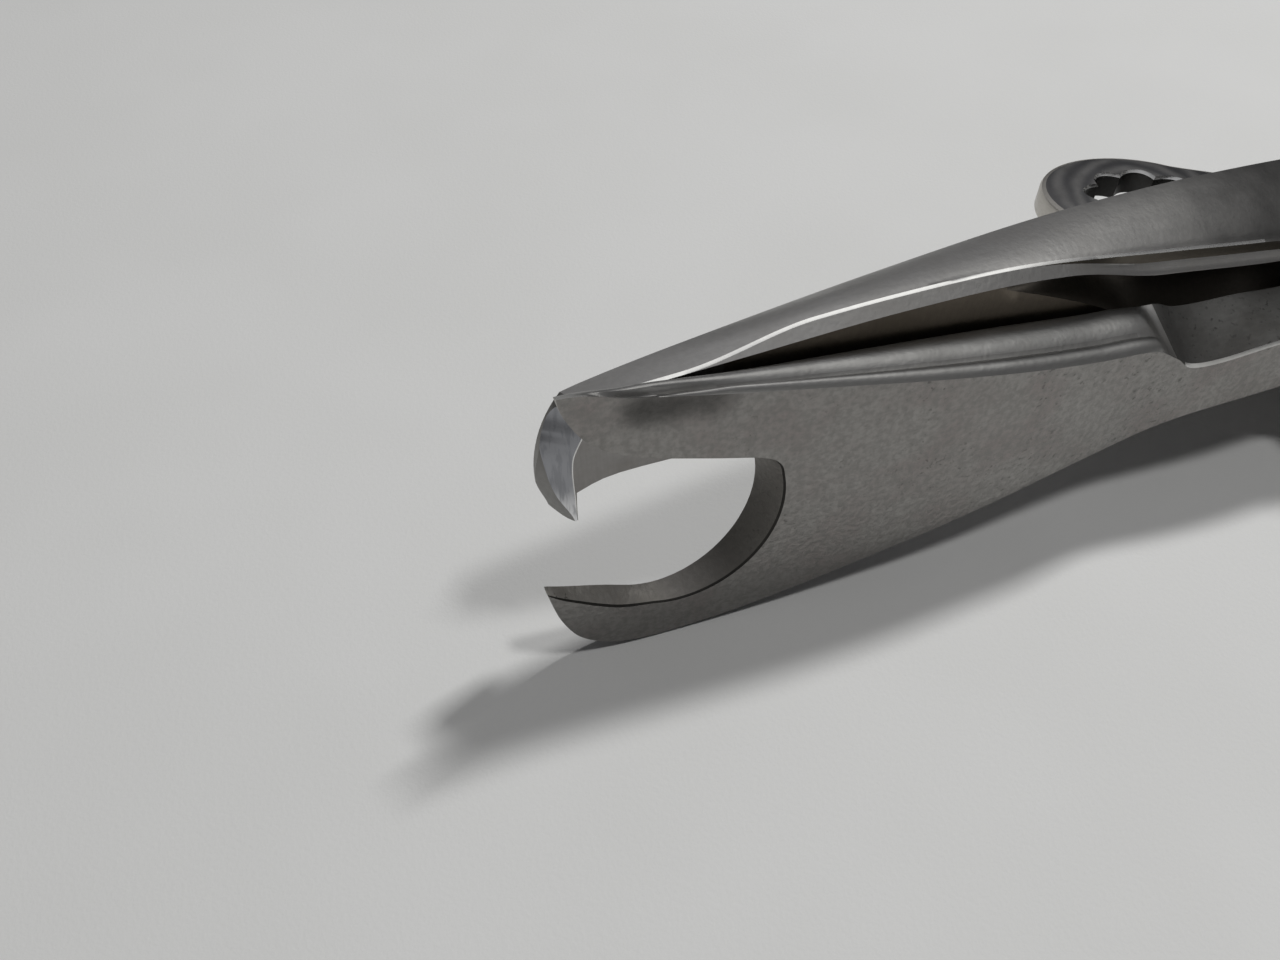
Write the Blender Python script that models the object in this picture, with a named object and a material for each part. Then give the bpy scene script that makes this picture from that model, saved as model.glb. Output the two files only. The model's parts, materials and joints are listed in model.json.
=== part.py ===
import math

import bmesh
import bpy
from mathutils import Vector

# Driving sizes in metres: the cutting head
NOTCH_R = 0.0055
JAW_REACH = 0.045
PLATE_TOP = 0.00275
PLATE_LOW = 0.0025
TIP_T = 0.00045
LIP_T = 0.0008
HOOK_T = 0.00115
NECK_T = 0.0048
FLOOR_TILT = 0.0017
WEB_SINK = 0.0007
LAP_GAP = 0.0003
JAW_RELIEF = 0.00005
ROOT_RELIEF = 0.0001
CLEAR = 0.0003

# Driving sizes: lap joint and its screw
JOINT_R = 0.0062
JOINT_T = 0.0036
LAP_CLEAR = 0.0005
SCREW_R = 0.0024
SCREW_HEAD_R = 0.0043
SCREW_HEAD_T = 0.0014
SLOT_W = 0.0010
SLOT_D = 0.0007
WASHER_R = 0.0040
WASHER_T = 0.0005
NUT_R = 0.0037
NUT_T = 0.0016
SCREW_END = 0.0004

# Driving sizes: handles
HANDLE_LEN = 0.088
HANDLE_W = 0.0110
HANDLE_ROOT_W = 0.0080
HANDLE_T = 0.0040
HANDLE_RISE = 0.0138
HANDLE_DROP = 0.0067
END_DIP = 0.0030
END_RISE = 0.0012

# Driving sizes: leaf springs, their screws and the closing stop
LEAF_W = 0.0056
LEAF_T = 0.0009
LEAF_SEAT = 0.0330
LEAF_LEN = 0.0310
LEAF_TIP_GAP = 0.0004
LEAF_SCREW_R = 0.0012
LEAF_HEAD_R = 0.0021
LEAF_HEAD_T = 0.0011
LEAF_WASHER_T = 0.0004
STOP_AT = 0.0790
STOP_R = 0.0015
STOP_NUT_R = 0.0027
STOP_NUT_T = 0.0018

# Driving sizes: catch lever with a lobed eye, its post and the stud it catches
LEVER_T = 0.0017
COLLAR_T = 0.0003
LEVER_W = 0.0044
EYE_RX = 0.0060
EYE_RY = 0.00425
EYE_TURN = math.radians(-35)
EYE_LOBES = 9
EYE_HOLE_R = 0.0026
EYE_HOLE_STRETCH = 1.3
EYE_LOBE_DEPTH = 0.00028
EYE_X = -0.0089
EYE_Y = 0.0112
POST_X = 0.0195
POST_Y = 0.0036
POST_R = 0.0014
POST_FOOT_R = 0.0024
POST_HEAD_R = 0.0023
POST_HEAD_T = 0.0008
BOSS_R = 0.0029
TAIL_LEN = 0.0065
TAIL_W = 0.0030
CATCH_TURN = math.radians(20)
STUD_R = 0.0009
STUD_HEAD_R = 0.0014
STUD_HEAD_T = 0.0005
STUD_TIP_GAP = 0.0004
BITE_R = 0.0014

# Height of the joint axis over the surface that the lower handle lies on
AXIS_Z = HANDLE_DROP + HANDLE_T / 2
# Length from the joint axis to the tip of the lower lip
TIP_X = JAW_REACH + 1.17 * NOTCH_R
MID_X = (HANDLE_LEN - TIP_X) / 2
# Depth from the near screw head to the far side of the eye
NEAR_Y = -(LAP_GAP / 2 + JOINT_T + 2 * CLEAR + WASHER_T + SCREW_HEAD_T)
FAR_Y = EYE_Y + math.hypot(EYE_RX * math.sin(EYE_TURN), EYE_RY * math.cos(EYE_TURN))
MID_Y = (NEAR_Y + FAR_Y) / 2

STEEL = (0.56, 0.55, 0.53)
POLISHED = (0.68, 0.67, 0.65)
DARK_STEEL = (0.36, 0.36, 0.36)


def world(x, y, z):
    # The joint axis is at x = 0 and z = 0 while modelling, the lap between the arms at y = 0
    return (x - MID_X, y - MID_Y, z + AXIS_Z)


def clear_scene():
    for item in list(bpy.data.objects):
        bpy.data.objects.remove(item, do_unlink=True)


def steel(name, colour, roughness):
    material = bpy.data.materials.new(name)
    material.use_nodes = True
    shader = material.node_tree.nodes["Principled BSDF"]
    shader.inputs["Base Color"].default_value = (*colour, 1.0)
    shader.inputs["Metallic"].default_value = 1.0
    shader.inputs["Roughness"].default_value = roughness
    return material


def add_object(name, bm, material=None):
    bmesh.ops.triangulate(bm, faces=bm.faces)
    bmesh.ops.recalc_face_normals(bm, faces=bm.faces)
    mesh = bpy.data.meshes.new(name)
    bm.to_mesh(mesh)
    bm.free()
    item = bpy.data.objects.new(name, mesh)
    bpy.context.scene.collection.objects.link(item)
    if material:
        mesh.materials.append(material)
    return item


def helper(item):
    item.hide_render = True
    item.display_type = "WIRE"
    return item


def boolean(item, tool, operation):
    # Join or cut two bodies at once and drop the helper
    modifier = item.modifiers.new(operation.lower(), "BOOLEAN")
    modifier.operation = operation
    modifier.solver = "EXACT"
    modifier.object = helper(tool)
    graph = bpy.context.evaluated_depsgraph_get()
    mesh = bpy.data.meshes.new_from_object(item.evaluated_get(graph))
    item.modifiers.clear()
    item.data = mesh
    bpy.data.objects.remove(tool, do_unlink=True)


def finish(item, pivot):
    # Put the object's origin on its own axis and weld stray points
    offset = Vector(pivot)
    mesh = item.data
    bm = bmesh.new()
    bm.from_mesh(mesh)
    bmesh.ops.remove_doubles(bm, verts=bm.verts, dist=0.000004)
    bmesh.ops.dissolve_degenerate(bm, edges=bm.edges, dist=0.000004)
    bmesh.ops.triangulate(bm, faces=[face for face in bm.faces if len(face.verts) > 4])
    bmesh.ops.translate(bm, verts=bm.verts, vec=item.location - offset)
    bm.to_mesh(mesh)
    bm.free()
    item.location = offset
    mesh.shade_smooth()
    mesh.set_sharp_from_angle(angle=math.radians(32))


def turned(name, rows, material=None, sides=32, axis="Y", at=(0.0, 0.0, 0.0)):
    # A turned body: rows hold (radius, place along the axis)
    bm = bmesh.new()
    rings = []
    for radius, along in rows:
        ring = []
        for i in range(sides):
            turn = 2 * math.pi * i / sides
            u, v = radius * math.cos(turn), radius * math.sin(turn)
            point = (u, along, v) if axis == "Y" else (u, v, along)
            ring.append(bm.verts.new(world(*(a + b for a, b in zip(at, point)))))
        rings.append(ring)
    for low, high in zip(rings, rings[1:]):
        for i in range(sides):
            j = (i + 1) % sides
            bm.faces.new((low[i], low[j], high[j], high[i]))
    bm.faces.new(rings[0])
    bm.faces.new(rings[-1])
    return add_object(name, bm, material)


def box(name, low, high):
    bm = bmesh.new()
    bmesh.ops.create_cube(bm, size=1.0)
    for vert in bm.verts:
        spot = [a + (0.5 + c) * (b - a) for a, b, c in zip(low, high, vert.co)]
        vert.co = world(*spot)
    return add_object(name, bm)


def prism(name, outline, near, far, material=None, cuts=(), soft=None, width=0.0):
    # Side outline in x and z, both faces set by functions of x and z on a grid of cuts
    bm = bmesh.new()
    count = len(outline)
    fronts = [bm.verts.new((x, -1.0, z)) for x, z in outline]
    backs = [bm.verts.new((x, 1.0, z)) for x, z in outline]
    bm.faces.new(fronts)
    bm.faces.new(backs)
    for i in range(count):
        j = (i + 1) % count
        bm.faces.new((fronts[i], fronts[j], backs[j], backs[i]))
    for spot, normal in cuts:
        bmesh.ops.bisect_plane(bm, geom=[*bm.verts, *bm.edges, *bm.faces], dist=0.000001,
                               plane_co=spot, plane_no=normal)
    for vert in bm.verts:
        x, y, z = vert.co
        vert.co = world(x, *(near(x, z) if y < 0 else far(x, z)))
    bmesh.ops.recalc_face_normals(bm, faces=bm.faces)
    if soft:
        bmesh.ops.bevel(bm, geom=[edge for edge in bm.edges if on_top(edge, *soft)], offset=width,
                        segments=3, profile=0.5, affect="EDGES", clamp_overlap=True)
    return add_object(name, bm, material)


def on_top(edge, start, end):
    # The long edges between a top face and the plate's two sides
    middle = (edge.verts[0].co.x + edge.verts[1].co.x) / 2
    if len(edge.link_faces) != 2 or not world(start, 0, 0)[0] < middle < world(end, 0, 0)[0]:
        return False
    tops = [face.normal.z > 0.6 for face in edge.link_faces]
    sides = [abs(face.normal.y) > 0.75 for face in edge.link_faces]
    return any(tops) and any(sides)


def grid_cuts(columns, rows):
    # Cutting planes across and along a plate, in notch radii from the notch's centre
    cuts = [((-JAW_REACH + u * NOTCH_R, 0, 0), (1, 0, 0)) for u in columns]
    return cuts + [((0, 0, v * NOTCH_R), (0, 0, 1)) for v in rows]


def ease(share):
    share = min(1.0, max(0.0, share))
    return share * share * (3 - 2 * share)


def flat_prism(name, outline, low, high, material=None):
    # Plan outline in x and y, height between two levels
    bm = bmesh.new()
    bottoms = [bm.verts.new(world(x, y, low)) for x, y in outline]
    tops = [bm.verts.new(world(x, y, high)) for x, y in outline]
    bm.faces.new(bottoms)
    bm.faces.new(tops)
    count = len(outline)
    for i in range(count):
        j = (i + 1) % count
        bm.faces.new((bottoms[i], bottoms[j], tops[j], tops[i]))
    return add_object(name, bm, material)


def arc(cx, cz, radius, start, end, steps):
    turns = [math.radians(start + (end - start) * i / steps) for i in range(steps + 1)]
    return [(cx + radius * math.cos(t), cz + radius * math.sin(t)) for t in turns]


def smooth_path(points, steps):
    # Catmull-Rom curve through the given points
    ends = [points[0], *points, points[-1]]
    path = []
    for a, b, c, d in zip(ends, ends[1:], ends[2:], ends[3:]):
        for i in range(steps):
            t = i / steps
            path.append(tuple(
                0.5 * (2 * q + (r - p) * t + (2 * p - 5 * q + 4 * r - s) * t * t
                       + (3 * q - p - 3 * r + s) * t ** 3)
                for p, q, r, s in zip(a, b, c, d)))
    path.append(tuple(points[-1]))
    return path


def strip(name, path, widths, thicks, corner, material=None):
    # A bar with rounded edges swept along a path in the x-z plane
    bm = bmesh.new()
    rings = []
    for i, (x, z) in enumerate(path):
        before, after = path[max(i - 1, 0)], path[min(i + 1, len(path) - 1)]
        along = Vector((after[0] - before[0], after[1] - before[1])).normalized()
        ring = []
        half_w, half_t = widths[i] / 2, thicks[i] / 2
        round_r = min(corner, half_w * 0.98, half_t * 0.98)
        for quarter in range(4):
            su = 1 if quarter in (0, 3) else -1
            sv = 1 if quarter in (0, 1) else -1
            for k in range(4):
                turn = math.pi / 2 * (quarter + k / 3)
                y = su * (half_w - round_r) + round_r * math.cos(turn)
                n = sv * (half_t - round_r) + round_r * math.sin(turn)
                ring.append(bm.verts.new(world(x - along.y * n, y, z + along.x * n)))
        rings.append(ring)
    for low, high in zip(rings, rings[1:]):
        for i in range(16):
            j = (i + 1) % 16
            bm.faces.new((low[i], low[j], high[j], high[i]))
    bm.faces.new(rings[0])
    bm.faces.new(rings[-1])
    return add_object(name, bm, material)


def handle_path(side):
    # Upper handle for side 1, lower handle for side -1
    level = HANDLE_RISE if side > 0 else -HANDLE_DROP
    end = level - END_DIP if side > 0 else level + END_RISE
    knots = [(JOINT_R * 0.55, level * 0.10), (JOINT_R * 1.45, level * 0.45),
             (HANDLE_LEN * 0.20, level * 0.80), (HANDLE_LEN * 0.28, level * 0.97), (HANDLE_LEN * 0.36, level),
             (HANDLE_LEN * 0.44, level), (HANDLE_LEN * 0.54, level), (HANDLE_LEN * 0.62, level),
             (HANDLE_LEN * 0.80, level + (end - level) * 0.25), (HANDLE_LEN, end)]
    return smooth_path(knots, 4)


def handle_z(side, x):
    # Height of a handle's middle line at a distance behind the joint
    path = handle_path(side)
    for a, b in zip(path, path[1:]):
        if a[0] <= x <= b[0]:
            return a[1] + (b[1] - a[1]) * (x - a[0]) / (b[0] - a[0])
    return path[-1][1]


def handle(name, side, material):
    path = handle_path(side)
    start = path[0][0]
    widths, thicks = [], []
    for x, z in path:
        share = min(1.0, max(0.0, (x - start) / (HANDLE_LEN * 0.28)))
        share = share * share * (3 - 2 * share)
        near_end = max(0.0, (x - HANDLE_LEN * 0.93) / (HANDLE_LEN * 0.07))
        tip = math.sqrt(max(0.05, 1 - near_end ** 2))
        widths.append((HANDLE_ROOT_W + (HANDLE_W - HANDLE_ROOT_W) * share) * tip)
        thicks.append(HANDLE_T * (0.55 + 0.45 * tip))
    return strip(name, path, widths, thicks, HANDLE_T * 0.36, material)


def plate_front(x, z):
    # The notched plate is thin at its lips and thick along its ridge and neck
    u, v = (x + JAW_REACH) / NOTCH_R, z / NOTCH_R
    share = ease((u + 1.5) / 5)
    top = TIP_T + (PLATE_TOP - TIP_T) * share
    low = LIP_T + (PLATE_LOW - LIP_T) * share
    thick = low + (top - low) * min(1.0, max(0.0, (v + 1.6) / 3))
    thick += (JOINT_T - thick) * ease((u - 4.6) / 2.2)
    return -LAP_GAP / 2 - JAW_RELIEF - thick, z


def plate_back(x, z):
    # Flat back of the plate; its top edge stands above the front one along the ridge and the neck's floor
    u, v = (x + JAW_REACH) / NOTCH_R, z / NOTCH_R
    lift = FLOOR_TILT * (0.35 * ease(u / 4) + 0.65 * ease((u - 4.4) / 0.5)) * (1 - ease((u - 4.9) / 1.7))
    return -LAP_GAP / 2 - JAW_RELIEF, z + lift * min(1.0, max(0.0, v / 0.28))


def scaled(points):
    # Points in notch radii from the notch's centre
    return [(u * NOTCH_R - JAW_REACH, v * NOTCH_R) for u, v in points]


def notched_outline():
    # Ridge, shoulder, neck, belly, lower lip, round notch and upper finger
    ridge = scaled([(-0.92, 1.77), (-0.60, 1.68), (-0.23, 1.61), (0.54, 1.48), (1.35, 1.36), (2.23, 1.20),
                    (3.20, 0.99), (3.99, 0.78), (4.56, 0.63)])
    shoulder = scaled([(4.63, 0.58), (4.68, 0.50), (4.82, 0.38), (5.05, 0.28), (5.5, 0.28)])
    neck = [(-JOINT_R * 0.98, 0.50 * NOTCH_R), (-JOINT_R * 0.4, JOINT_R * 0.6),
            (-JOINT_R * 0.4, -JOINT_R * 0.6), (-JOINT_R * 0.98, -0.25 * NOTCH_R)]
    belly = scaled([(5.42, -0.38), (4.33, -0.59), (3.27, -0.83), (2.26, -1.10), (1.27, -1.37),
                    (0.75, -1.48), (0.27, -1.55)])
    chin = scaled([(-0.05, -1.575), (-0.33, -1.57), (-0.55, -1.51), (-0.74, -1.41), (-0.88, -1.28),
                   (-0.98, -1.12), (-1.06, -0.90), (-1.13, -0.62), (-1.17, -0.38)])
    lip = scaled([(-1.02, -0.58), (-0.82, -0.77), (-0.62, -0.89)])
    notch = arc(-JAW_REACH, 0.0, NOTCH_R * 1.02, 243, 402, 24)
    finger = scaled([(0.45, 0.74), (0.18, 0.81), (-0.07, 0.89), (-0.31, 1.00), (-0.54, 1.18),
                     (-0.76, 1.37), (-0.87, 1.57)])
    return ridge + shoulder + neck + belly + chin + lip + notch + finger


def notched_arm(material):
    cuts = grid_cuts((-0.7, -0.3, 0.1, 0.5, 0.9, 1.3, 1.8, 2.4, 3.0, 3.6, 4.2, 4.8, 5.3, 5.8, 6.4),
                     (-1.1, -0.6, 0.0, 0.6, 1.1))
    ends = -JAW_REACH + NOTCH_R, -JAW_REACH + 4.5 * NOTCH_R
    arm = prism("notched_arm", notched_outline(), plate_front, plate_back, material, cuts, ends, PLATE_TOP * 0.18)
    low, high = -LAP_GAP / 2 - JOINT_T, -LAP_GAP / 2
    disc = turned("disc", [(JOINT_R, low), (JOINT_R, high)], sides=48)
    boolean(arm, disc, "UNION")
    grip = handle("grip", 1, material)
    floor = -LAP_GAP / 2 - ROOT_RELIEF
    pocket = turned("pocket", [(JOINT_R + LAP_CLEAR, floor), (JOINT_R + LAP_CLEAR, HANDLE_W)], sides=48)
    boolean(grip, pocket, "DIFFERENCE")
    boolean(arm, grip, "UNION")
    bore_joint(arm, -1)
    drill(arm, LEAF_SEAT, 1, LEAF_SCREW_R + CLEAR)
    x, y = stud_place()
    drill(arm, x, 1, STUD_R + CLEAR, y)
    finish(arm, world(0, 0, 0))
    return arm


def hook_back(x, z):
    # The hooked arm deepens from its tip to the joint and its back edge climbs
    u = (x + JAW_REACH) / NOTCH_R
    share = max(0.0, (u + 1.05) / ((JAW_REACH - JOINT_R) / NOTCH_R + 1.05)) ** 0.8
    lift = (0.34 * ease((u - 0.3) / 5) - 0.07) * NOTCH_R if z > 0.86 * NOTCH_R else 0.0
    return LAP_GAP / 2 + JAW_RELIEF + HOOK_T + (NECK_T - HOOK_T) * share, z + lift


def hook_outline():
    # Back from the hook to the joint, underside of bar and web, cutting arch and hook point
    back = scaled([(-0.62, 1.52), (0.10, 1.52), (1.12, 1.47), (2.02, 1.42), (2.98, 1.36), (3.59, 1.33),
                   (4.57, 1.20), (5.4, 1.09), (6.14, 0.97)])
    joint = [(-JOINT_R * 0.6, JOINT_R * 0.72), (-JOINT_R * 0.5, -JOINT_R * 0.3), (-JOINT_R, -0.12 * NOTCH_R)]
    under = scaled([(6.0, -0.10), (5.0, -0.05), (4.1, 0.05), (2.5, 0.22), (1.7, 0.30), (1.15, 0.25)])
    arch = scaled([(0.85, 0.40), (0.5, 0.52), (0.04, 0.60), (-0.40, 0.62), (-0.66, 0.58)])
    point = scaled([(-0.76, 0.48), (-0.775, 0.25), (-0.76, 0.02)])
    beak = scaled([(-0.86, 0.07), (-0.96, 0.20), (-1.03, 0.40), (-1.05, 0.62), (-1.03, 0.85),
                   (-0.97, 1.07), (-0.89, 1.26), (-0.78, 1.43)])
    return back + joint + under + arch + point + beak


def hook_arm(material):
    front = lambda x, z: (LAP_GAP / 2 + JAW_RELIEF, z)
    cuts = grid_cuts((0.1, 1.12, 2.02, 2.98, 3.59, 4.57, 5.4, 6.14), (0.86,))
    ends = -JAW_REACH + 0.5 * NOTCH_R, -JAW_REACH + 6.1 * NOTCH_R
    arm = prism("hook_arm", hook_outline(), front, hook_back, material, cuts, ends, HOOK_T * 0.3)
    recess = scaled([(1.35, 1.24), (2.05, 1.28), (3.03, 1.21), (3.65, 1.14), (4.67, 0.97), (6.34, 0.61),
                     (6.5, -0.3), (4.9, -0.3), (4.46, 0.72), (3.9, 0.86), (3.2, 0.98), (2.2, 1.10), (1.5, 1.20)])
    sink = lambda x, z: (LAP_GAP / 2 + JAW_RELIEF + WEB_SINK, z)
    ahead = lambda x, z: (-HANDLE_W, z)
    boolean(arm, prism("recess", recess, ahead, sink), "DIFFERENCE")
    low, high = LAP_GAP / 2, LAP_GAP / 2 + JOINT_T
    disc = turned("disc", [(JOINT_R, low), (JOINT_R, high)], sides=48)
    boolean(arm, disc, "UNION")
    grip = handle("grip", -1, material)
    floor = LAP_GAP / 2 + ROOT_RELIEF
    pocket = turned("pocket", [(JOINT_R + LAP_CLEAR, -HANDLE_W), (JOINT_R + LAP_CLEAR, floor)], sides=48)
    boolean(grip, pocket, "DIFFERENCE")
    boolean(arm, grip, "UNION")
    bore_joint(arm, 1)
    base = handle_z(-1, POST_X)
    rows = [(BOSS_R, base - HANDLE_T * 0.42), (BOSS_R, base + HANDLE_T * 0.42)]
    boolean(arm, turned("boss", rows, axis="Z", at=(POST_X, POST_Y, 0), sides=32), "UNION")
    drill(arm, LEAF_SEAT, -1, LEAF_SCREW_R + CLEAR)
    drill(arm, STOP_AT, -1, STOP_R + CLEAR)
    drill(arm, POST_X, -1, POST_R + CLEAR, POST_Y)
    finish(arm, world(0, 0, 0))
    return arm


def bore_joint(arm, side):
    # The screw's hole and a flat seat round it on the outer face
    bore = turned("bore", [(SCREW_R + CLEAR, -HANDLE_W), (SCREW_R + CLEAR, HANDLE_W)])
    boolean(arm, bore, "DIFFERENCE")
    seat_r = SCREW_HEAD_R + 2 * CLEAR
    face = side * (LAP_GAP / 2 + JOINT_T)
    seat = turned("seat", [(seat_r, face), (seat_r, side * HANDLE_W)], sides=40)
    boolean(arm, seat, "DIFFERENCE")


def drill(arm, x, side, radius, y=0.0):
    # An upright hole half way into a handle from its inner face
    z = handle_z(side, x)
    far = z - side * HANDLE_T
    tool = turned("drill", [(radius, z), (radius, far)], axis="Z", at=(x, y, 0), sides=20)
    boolean(arm, tool, "DIFFERENCE")


def pivot_parts(material, dark):
    # Slotted screw from the near side, washers and a round nut behind
    front = -LAP_GAP / 2 - JOINT_T
    rear = LAP_GAP / 2 + JOINT_T
    head = front - CLEAR - WASHER_T - CLEAR
    nut_from = rear + CLEAR + WASHER_T + CLEAR
    end = nut_from + NUT_T + SCREW_END
    rows = [(SCREW_HEAD_R * 0.86, head - SCREW_HEAD_T), (SCREW_HEAD_R, head - SCREW_HEAD_T * 0.6),
            (SCREW_HEAD_R, head), (SCREW_R, head), (SCREW_R, end - 0.0003), (SCREW_R - 0.0003, end)]
    screw = turned("pivot_screw", rows, material)
    slot = box("slot", (-SCREW_HEAD_R * 2, head - SCREW_HEAD_T * 2, -SLOT_W / 2),
               (SCREW_HEAD_R * 2, head - SCREW_HEAD_T + SLOT_D, SLOT_W / 2))
    boolean(screw, slot, "DIFFERENCE")
    finish(screw, world(0, 0, 0))
    ring("front_washer", WASHER_R, SCREW_R + CLEAR, front - CLEAR - WASHER_T, WASHER_T, dark)
    ring("rear_washer", WASHER_R, SCREW_R + CLEAR, rear + CLEAR, WASHER_T, dark)
    nut = ring("pivot_nut", NUT_R, SCREW_R + CLEAR, nut_from, NUT_T, material)
    for side in (-1, 1):
        far = side * NUT_R * 2
        near = side * (SCREW_R + CLEAR * 3)
        cut = box("cut", (min(near, far), nut_from + NUT_T - SLOT_D, -SLOT_W / 2),
                  (max(near, far), nut_from + NUT_T * 2, SLOT_W / 2))
        boolean(nut, cut, "DIFFERENCE")
    finish(nut, world(0, 0, 0))


def ring(name, outer, inner, low, thick, material, axis="Y", at=(0.0, 0.0, 0.0)):
    edge = min(thick * 0.25, (outer - inner) * 0.25)
    rows = [(outer - edge, low), (outer, low + edge), (outer, low + thick - edge),
            (outer - edge, low + thick)]
    item = turned(name, rows, material, axis=axis, at=at)
    hole = turned("hole", [(inner, low - thick), (inner, low + 2 * thick)], axis=axis, at=at)
    boolean(item, hole, "DIFFERENCE")
    finish(item, world(*at))
    return item


def leaf_root(side):
    # Centre of a leaf where its screw clamps it on the handle's inner face
    return LEAF_SEAT, handle_z(side, LEAF_SEAT) - side * (HANDLE_T / 2 + CLEAR + LEAF_T / 2)


def leaf_tip():
    # Both leaves meet on the line half way between the handles
    middle = (leaf_root(1)[1] + leaf_root(-1)[1]) / 2
    return LEAF_SEAT + LEAF_LEN, middle


def leaf(name, side, material):
    x0, z0 = leaf_root(side)
    x1, z1 = leaf_tip()
    z1 += side * (LEAF_T / 2 + LEAF_TIP_GAP / 2)
    flat = LEAF_HEAD_R * 0.85
    knots = [(x0 - flat, z0), (x0 + flat, z0), (x0 + LEAF_LEN * 0.42, z0 + (z1 - z0) * 0.34),
             (x0 + LEAF_LEN * 0.75, z0 + (z1 - z0) * 0.80), (x1 - LEAF_T, z1),
             (x1 + LEAF_T * 2, z1 + side * LEAF_T * 0.9)]
    path = smooth_path(knots, 4)
    widths = [LEAF_W * (1 - 0.35 * max(0.0, i / (len(path) - 1) - 0.4)) for i in range(len(path))]
    item = strip(name, path, widths, [LEAF_T] * len(path), LEAF_T * 0.3, material)
    hole = turned("hole", [(LEAF_SCREW_R + CLEAR, z0 - HANDLE_T), (LEAF_SCREW_R + CLEAR, z0 + HANDLE_T)],
                  axis="Z", at=(x0, 0, 0), sides=20)
    boolean(item, hole, "DIFFERENCE")
    finish(item, world(x0, 0, z0))
    return item


def leaf_fixings(label, side, material, dark):
    x0, z0 = leaf_root(side)
    face = z0 - side * (LEAF_T / 2 + CLEAR)
    top = face - side * LEAF_WASHER_T
    low = min(face, top)
    ring(label + "_leaf_washer", LEAF_HEAD_R, LEAF_SCREW_R + CLEAR, low, LEAF_WASHER_T, dark, "Z",
         (x0, 0, 0))
    under = top - side * CLEAR
    end = z0 + side * (LEAF_T / 2 + CLEAR + HANDLE_T * 0.42)
    rows = [(LEAF_HEAD_R * 0.7, under - side * LEAF_HEAD_T), (LEAF_HEAD_R, under - side * LEAF_HEAD_T * 0.55),
            (LEAF_HEAD_R, under), (LEAF_SCREW_R, under), (LEAF_SCREW_R, end)]
    screw = turned(label + "_leaf_screw", rows, material, axis="Z", at=(x0, 0, 0), sides=24)
    edge = under - side * LEAF_HEAD_T
    spans = sorted((edge - side * LEAF_HEAD_T, edge + side * LEAF_HEAD_T * 0.45))
    slot = box("slot", (x0 - LEAF_HEAD_R * 2, -SLOT_W * 0.3, spans[0]),
               (x0 + LEAF_HEAD_R * 2, SLOT_W * 0.3, spans[1]))
    boolean(screw, slot, "DIFFERENCE")
    finish(screw, world(x0, 0, z0))


def stop_parts(material, dark):
    # A set screw near the end of the lower handle limits the closing
    base = handle_z(-1, STOP_AT)
    seat = base + HANDLE_T / 2 + CLEAR
    nut = turned("stop_nut", [(STOP_NUT_R, seat), (STOP_NUT_R, seat + STOP_NUT_T)], dark, 6, "Z",
                 (STOP_AT, 0, 0))
    hole = turned("hole", [(STOP_R + CLEAR, seat - HANDLE_T), (STOP_R + CLEAR, seat + HANDLE_T)],
                  axis="Z", at=(STOP_AT, 0, 0), sides=24)
    boolean(nut, hole, "DIFFERENCE")
    finish(nut, world(STOP_AT, 0, seat))
    top = seat + STOP_NUT_T + 0.0006
    rows = [(STOP_R, base + CLEAR), (STOP_R, top - 0.0005), (STOP_R - 0.0005, top)]
    screw = turned("stop_screw", rows, material, 24, "Z", (STOP_AT, 0, 0))
    finish(screw, world(STOP_AT, 0, base))


def rear_end():
    # How far the pivot screw and its nut stand out behind
    return LAP_GAP / 2 + JOINT_T + 2 * CLEAR + WASHER_T + NUT_T + SCREW_END


def eye_point(degrees):
    # A point of the slanted oval round the eye's centre
    turn = math.radians(degrees)
    along, across = EYE_RX * math.cos(turn), EYE_RY * math.sin(turn)
    return (EYE_X + along * math.cos(EYE_TURN) - across * math.sin(EYE_TURN),
            EYE_Y + along * math.sin(EYE_TURN) + across * math.cos(EYE_TURN))


def eye_outline(steps=30):
    # Plan outline of the lever: oval eye end, bent shank and bitten tail
    shank = Vector((EYE_X - POST_X, EYE_Y - POST_Y))
    tail = math.atan2(shank.y, shank.x) - math.pi
    ahead = Vector((math.cos(tail), math.sin(tail)))
    across = Vector((-ahead.y, ahead.x))
    post = Vector((POST_X, POST_Y))
    half = LEVER_W / 2
    near_y = rear_end() + 2 * CLEAR
    eye = [eye_point(70 + (335 - 70) * i / steps) for i in range(steps + 1)]
    near = [(-NUT_R - CLEAR, near_y + CLEAR), (NUT_R + CLEAR, near_y),
            tuple(post - across * half - ahead * half * 0.4)]
    far = [tuple(post + across * half - ahead * half * 0.4), (NUT_R, near_y + LEVER_W * 0.55),
           (-NUT_R * 0.4, near_y + LEVER_W * 0.75)]
    bite = post + ahead * TAIL_LEN
    lead = []
    for i in range(7):
        turn = tail + math.pi - math.pi * i / 6
        lead.append((bite.x + BITE_R * math.cos(turn), bite.y + BITE_R * math.sin(turn)))
    foot = [tuple(post - across * half * 0.75 + ahead * half * 0.75)]
    toe = post + ahead * (TAIL_LEN + BITE_R + TAIL_W * 0.3)
    back_edge = [tuple(toe), tuple(toe + across * TAIL_W * 0.5 - ahead * TAIL_W * 0.1),
                 tuple(post + across * TAIL_W * 0.95 + ahead * TAIL_LEN * 0.6),
                 tuple(post + across * half + ahead * half * 0.6)]
    return eye + near + foot + lead + back_edge + far


def stud_place():
    # Where the catch stud stands: in the bite once the lever has turned
    shank = Vector((EYE_X - POST_X, EYE_Y - POST_Y))
    turn = math.atan2(shank.y, shank.x) - math.pi - CATCH_TURN
    return POST_X + TAIL_LEN * math.cos(turn), POST_Y + TAIL_LEN * math.sin(turn)


def post_seat():
    # The post's collar clears the higher side of the sloping handle
    return handle_z(-1, POST_X - POST_FOOT_R) + HANDLE_T * 0.53 + CLEAR


def lever_low():
    # Underside of the lever: it lies on a washer on the post's collar
    return post_seat() + COLLAR_T + CLEAR + WASHER_T + CLEAR


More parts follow.
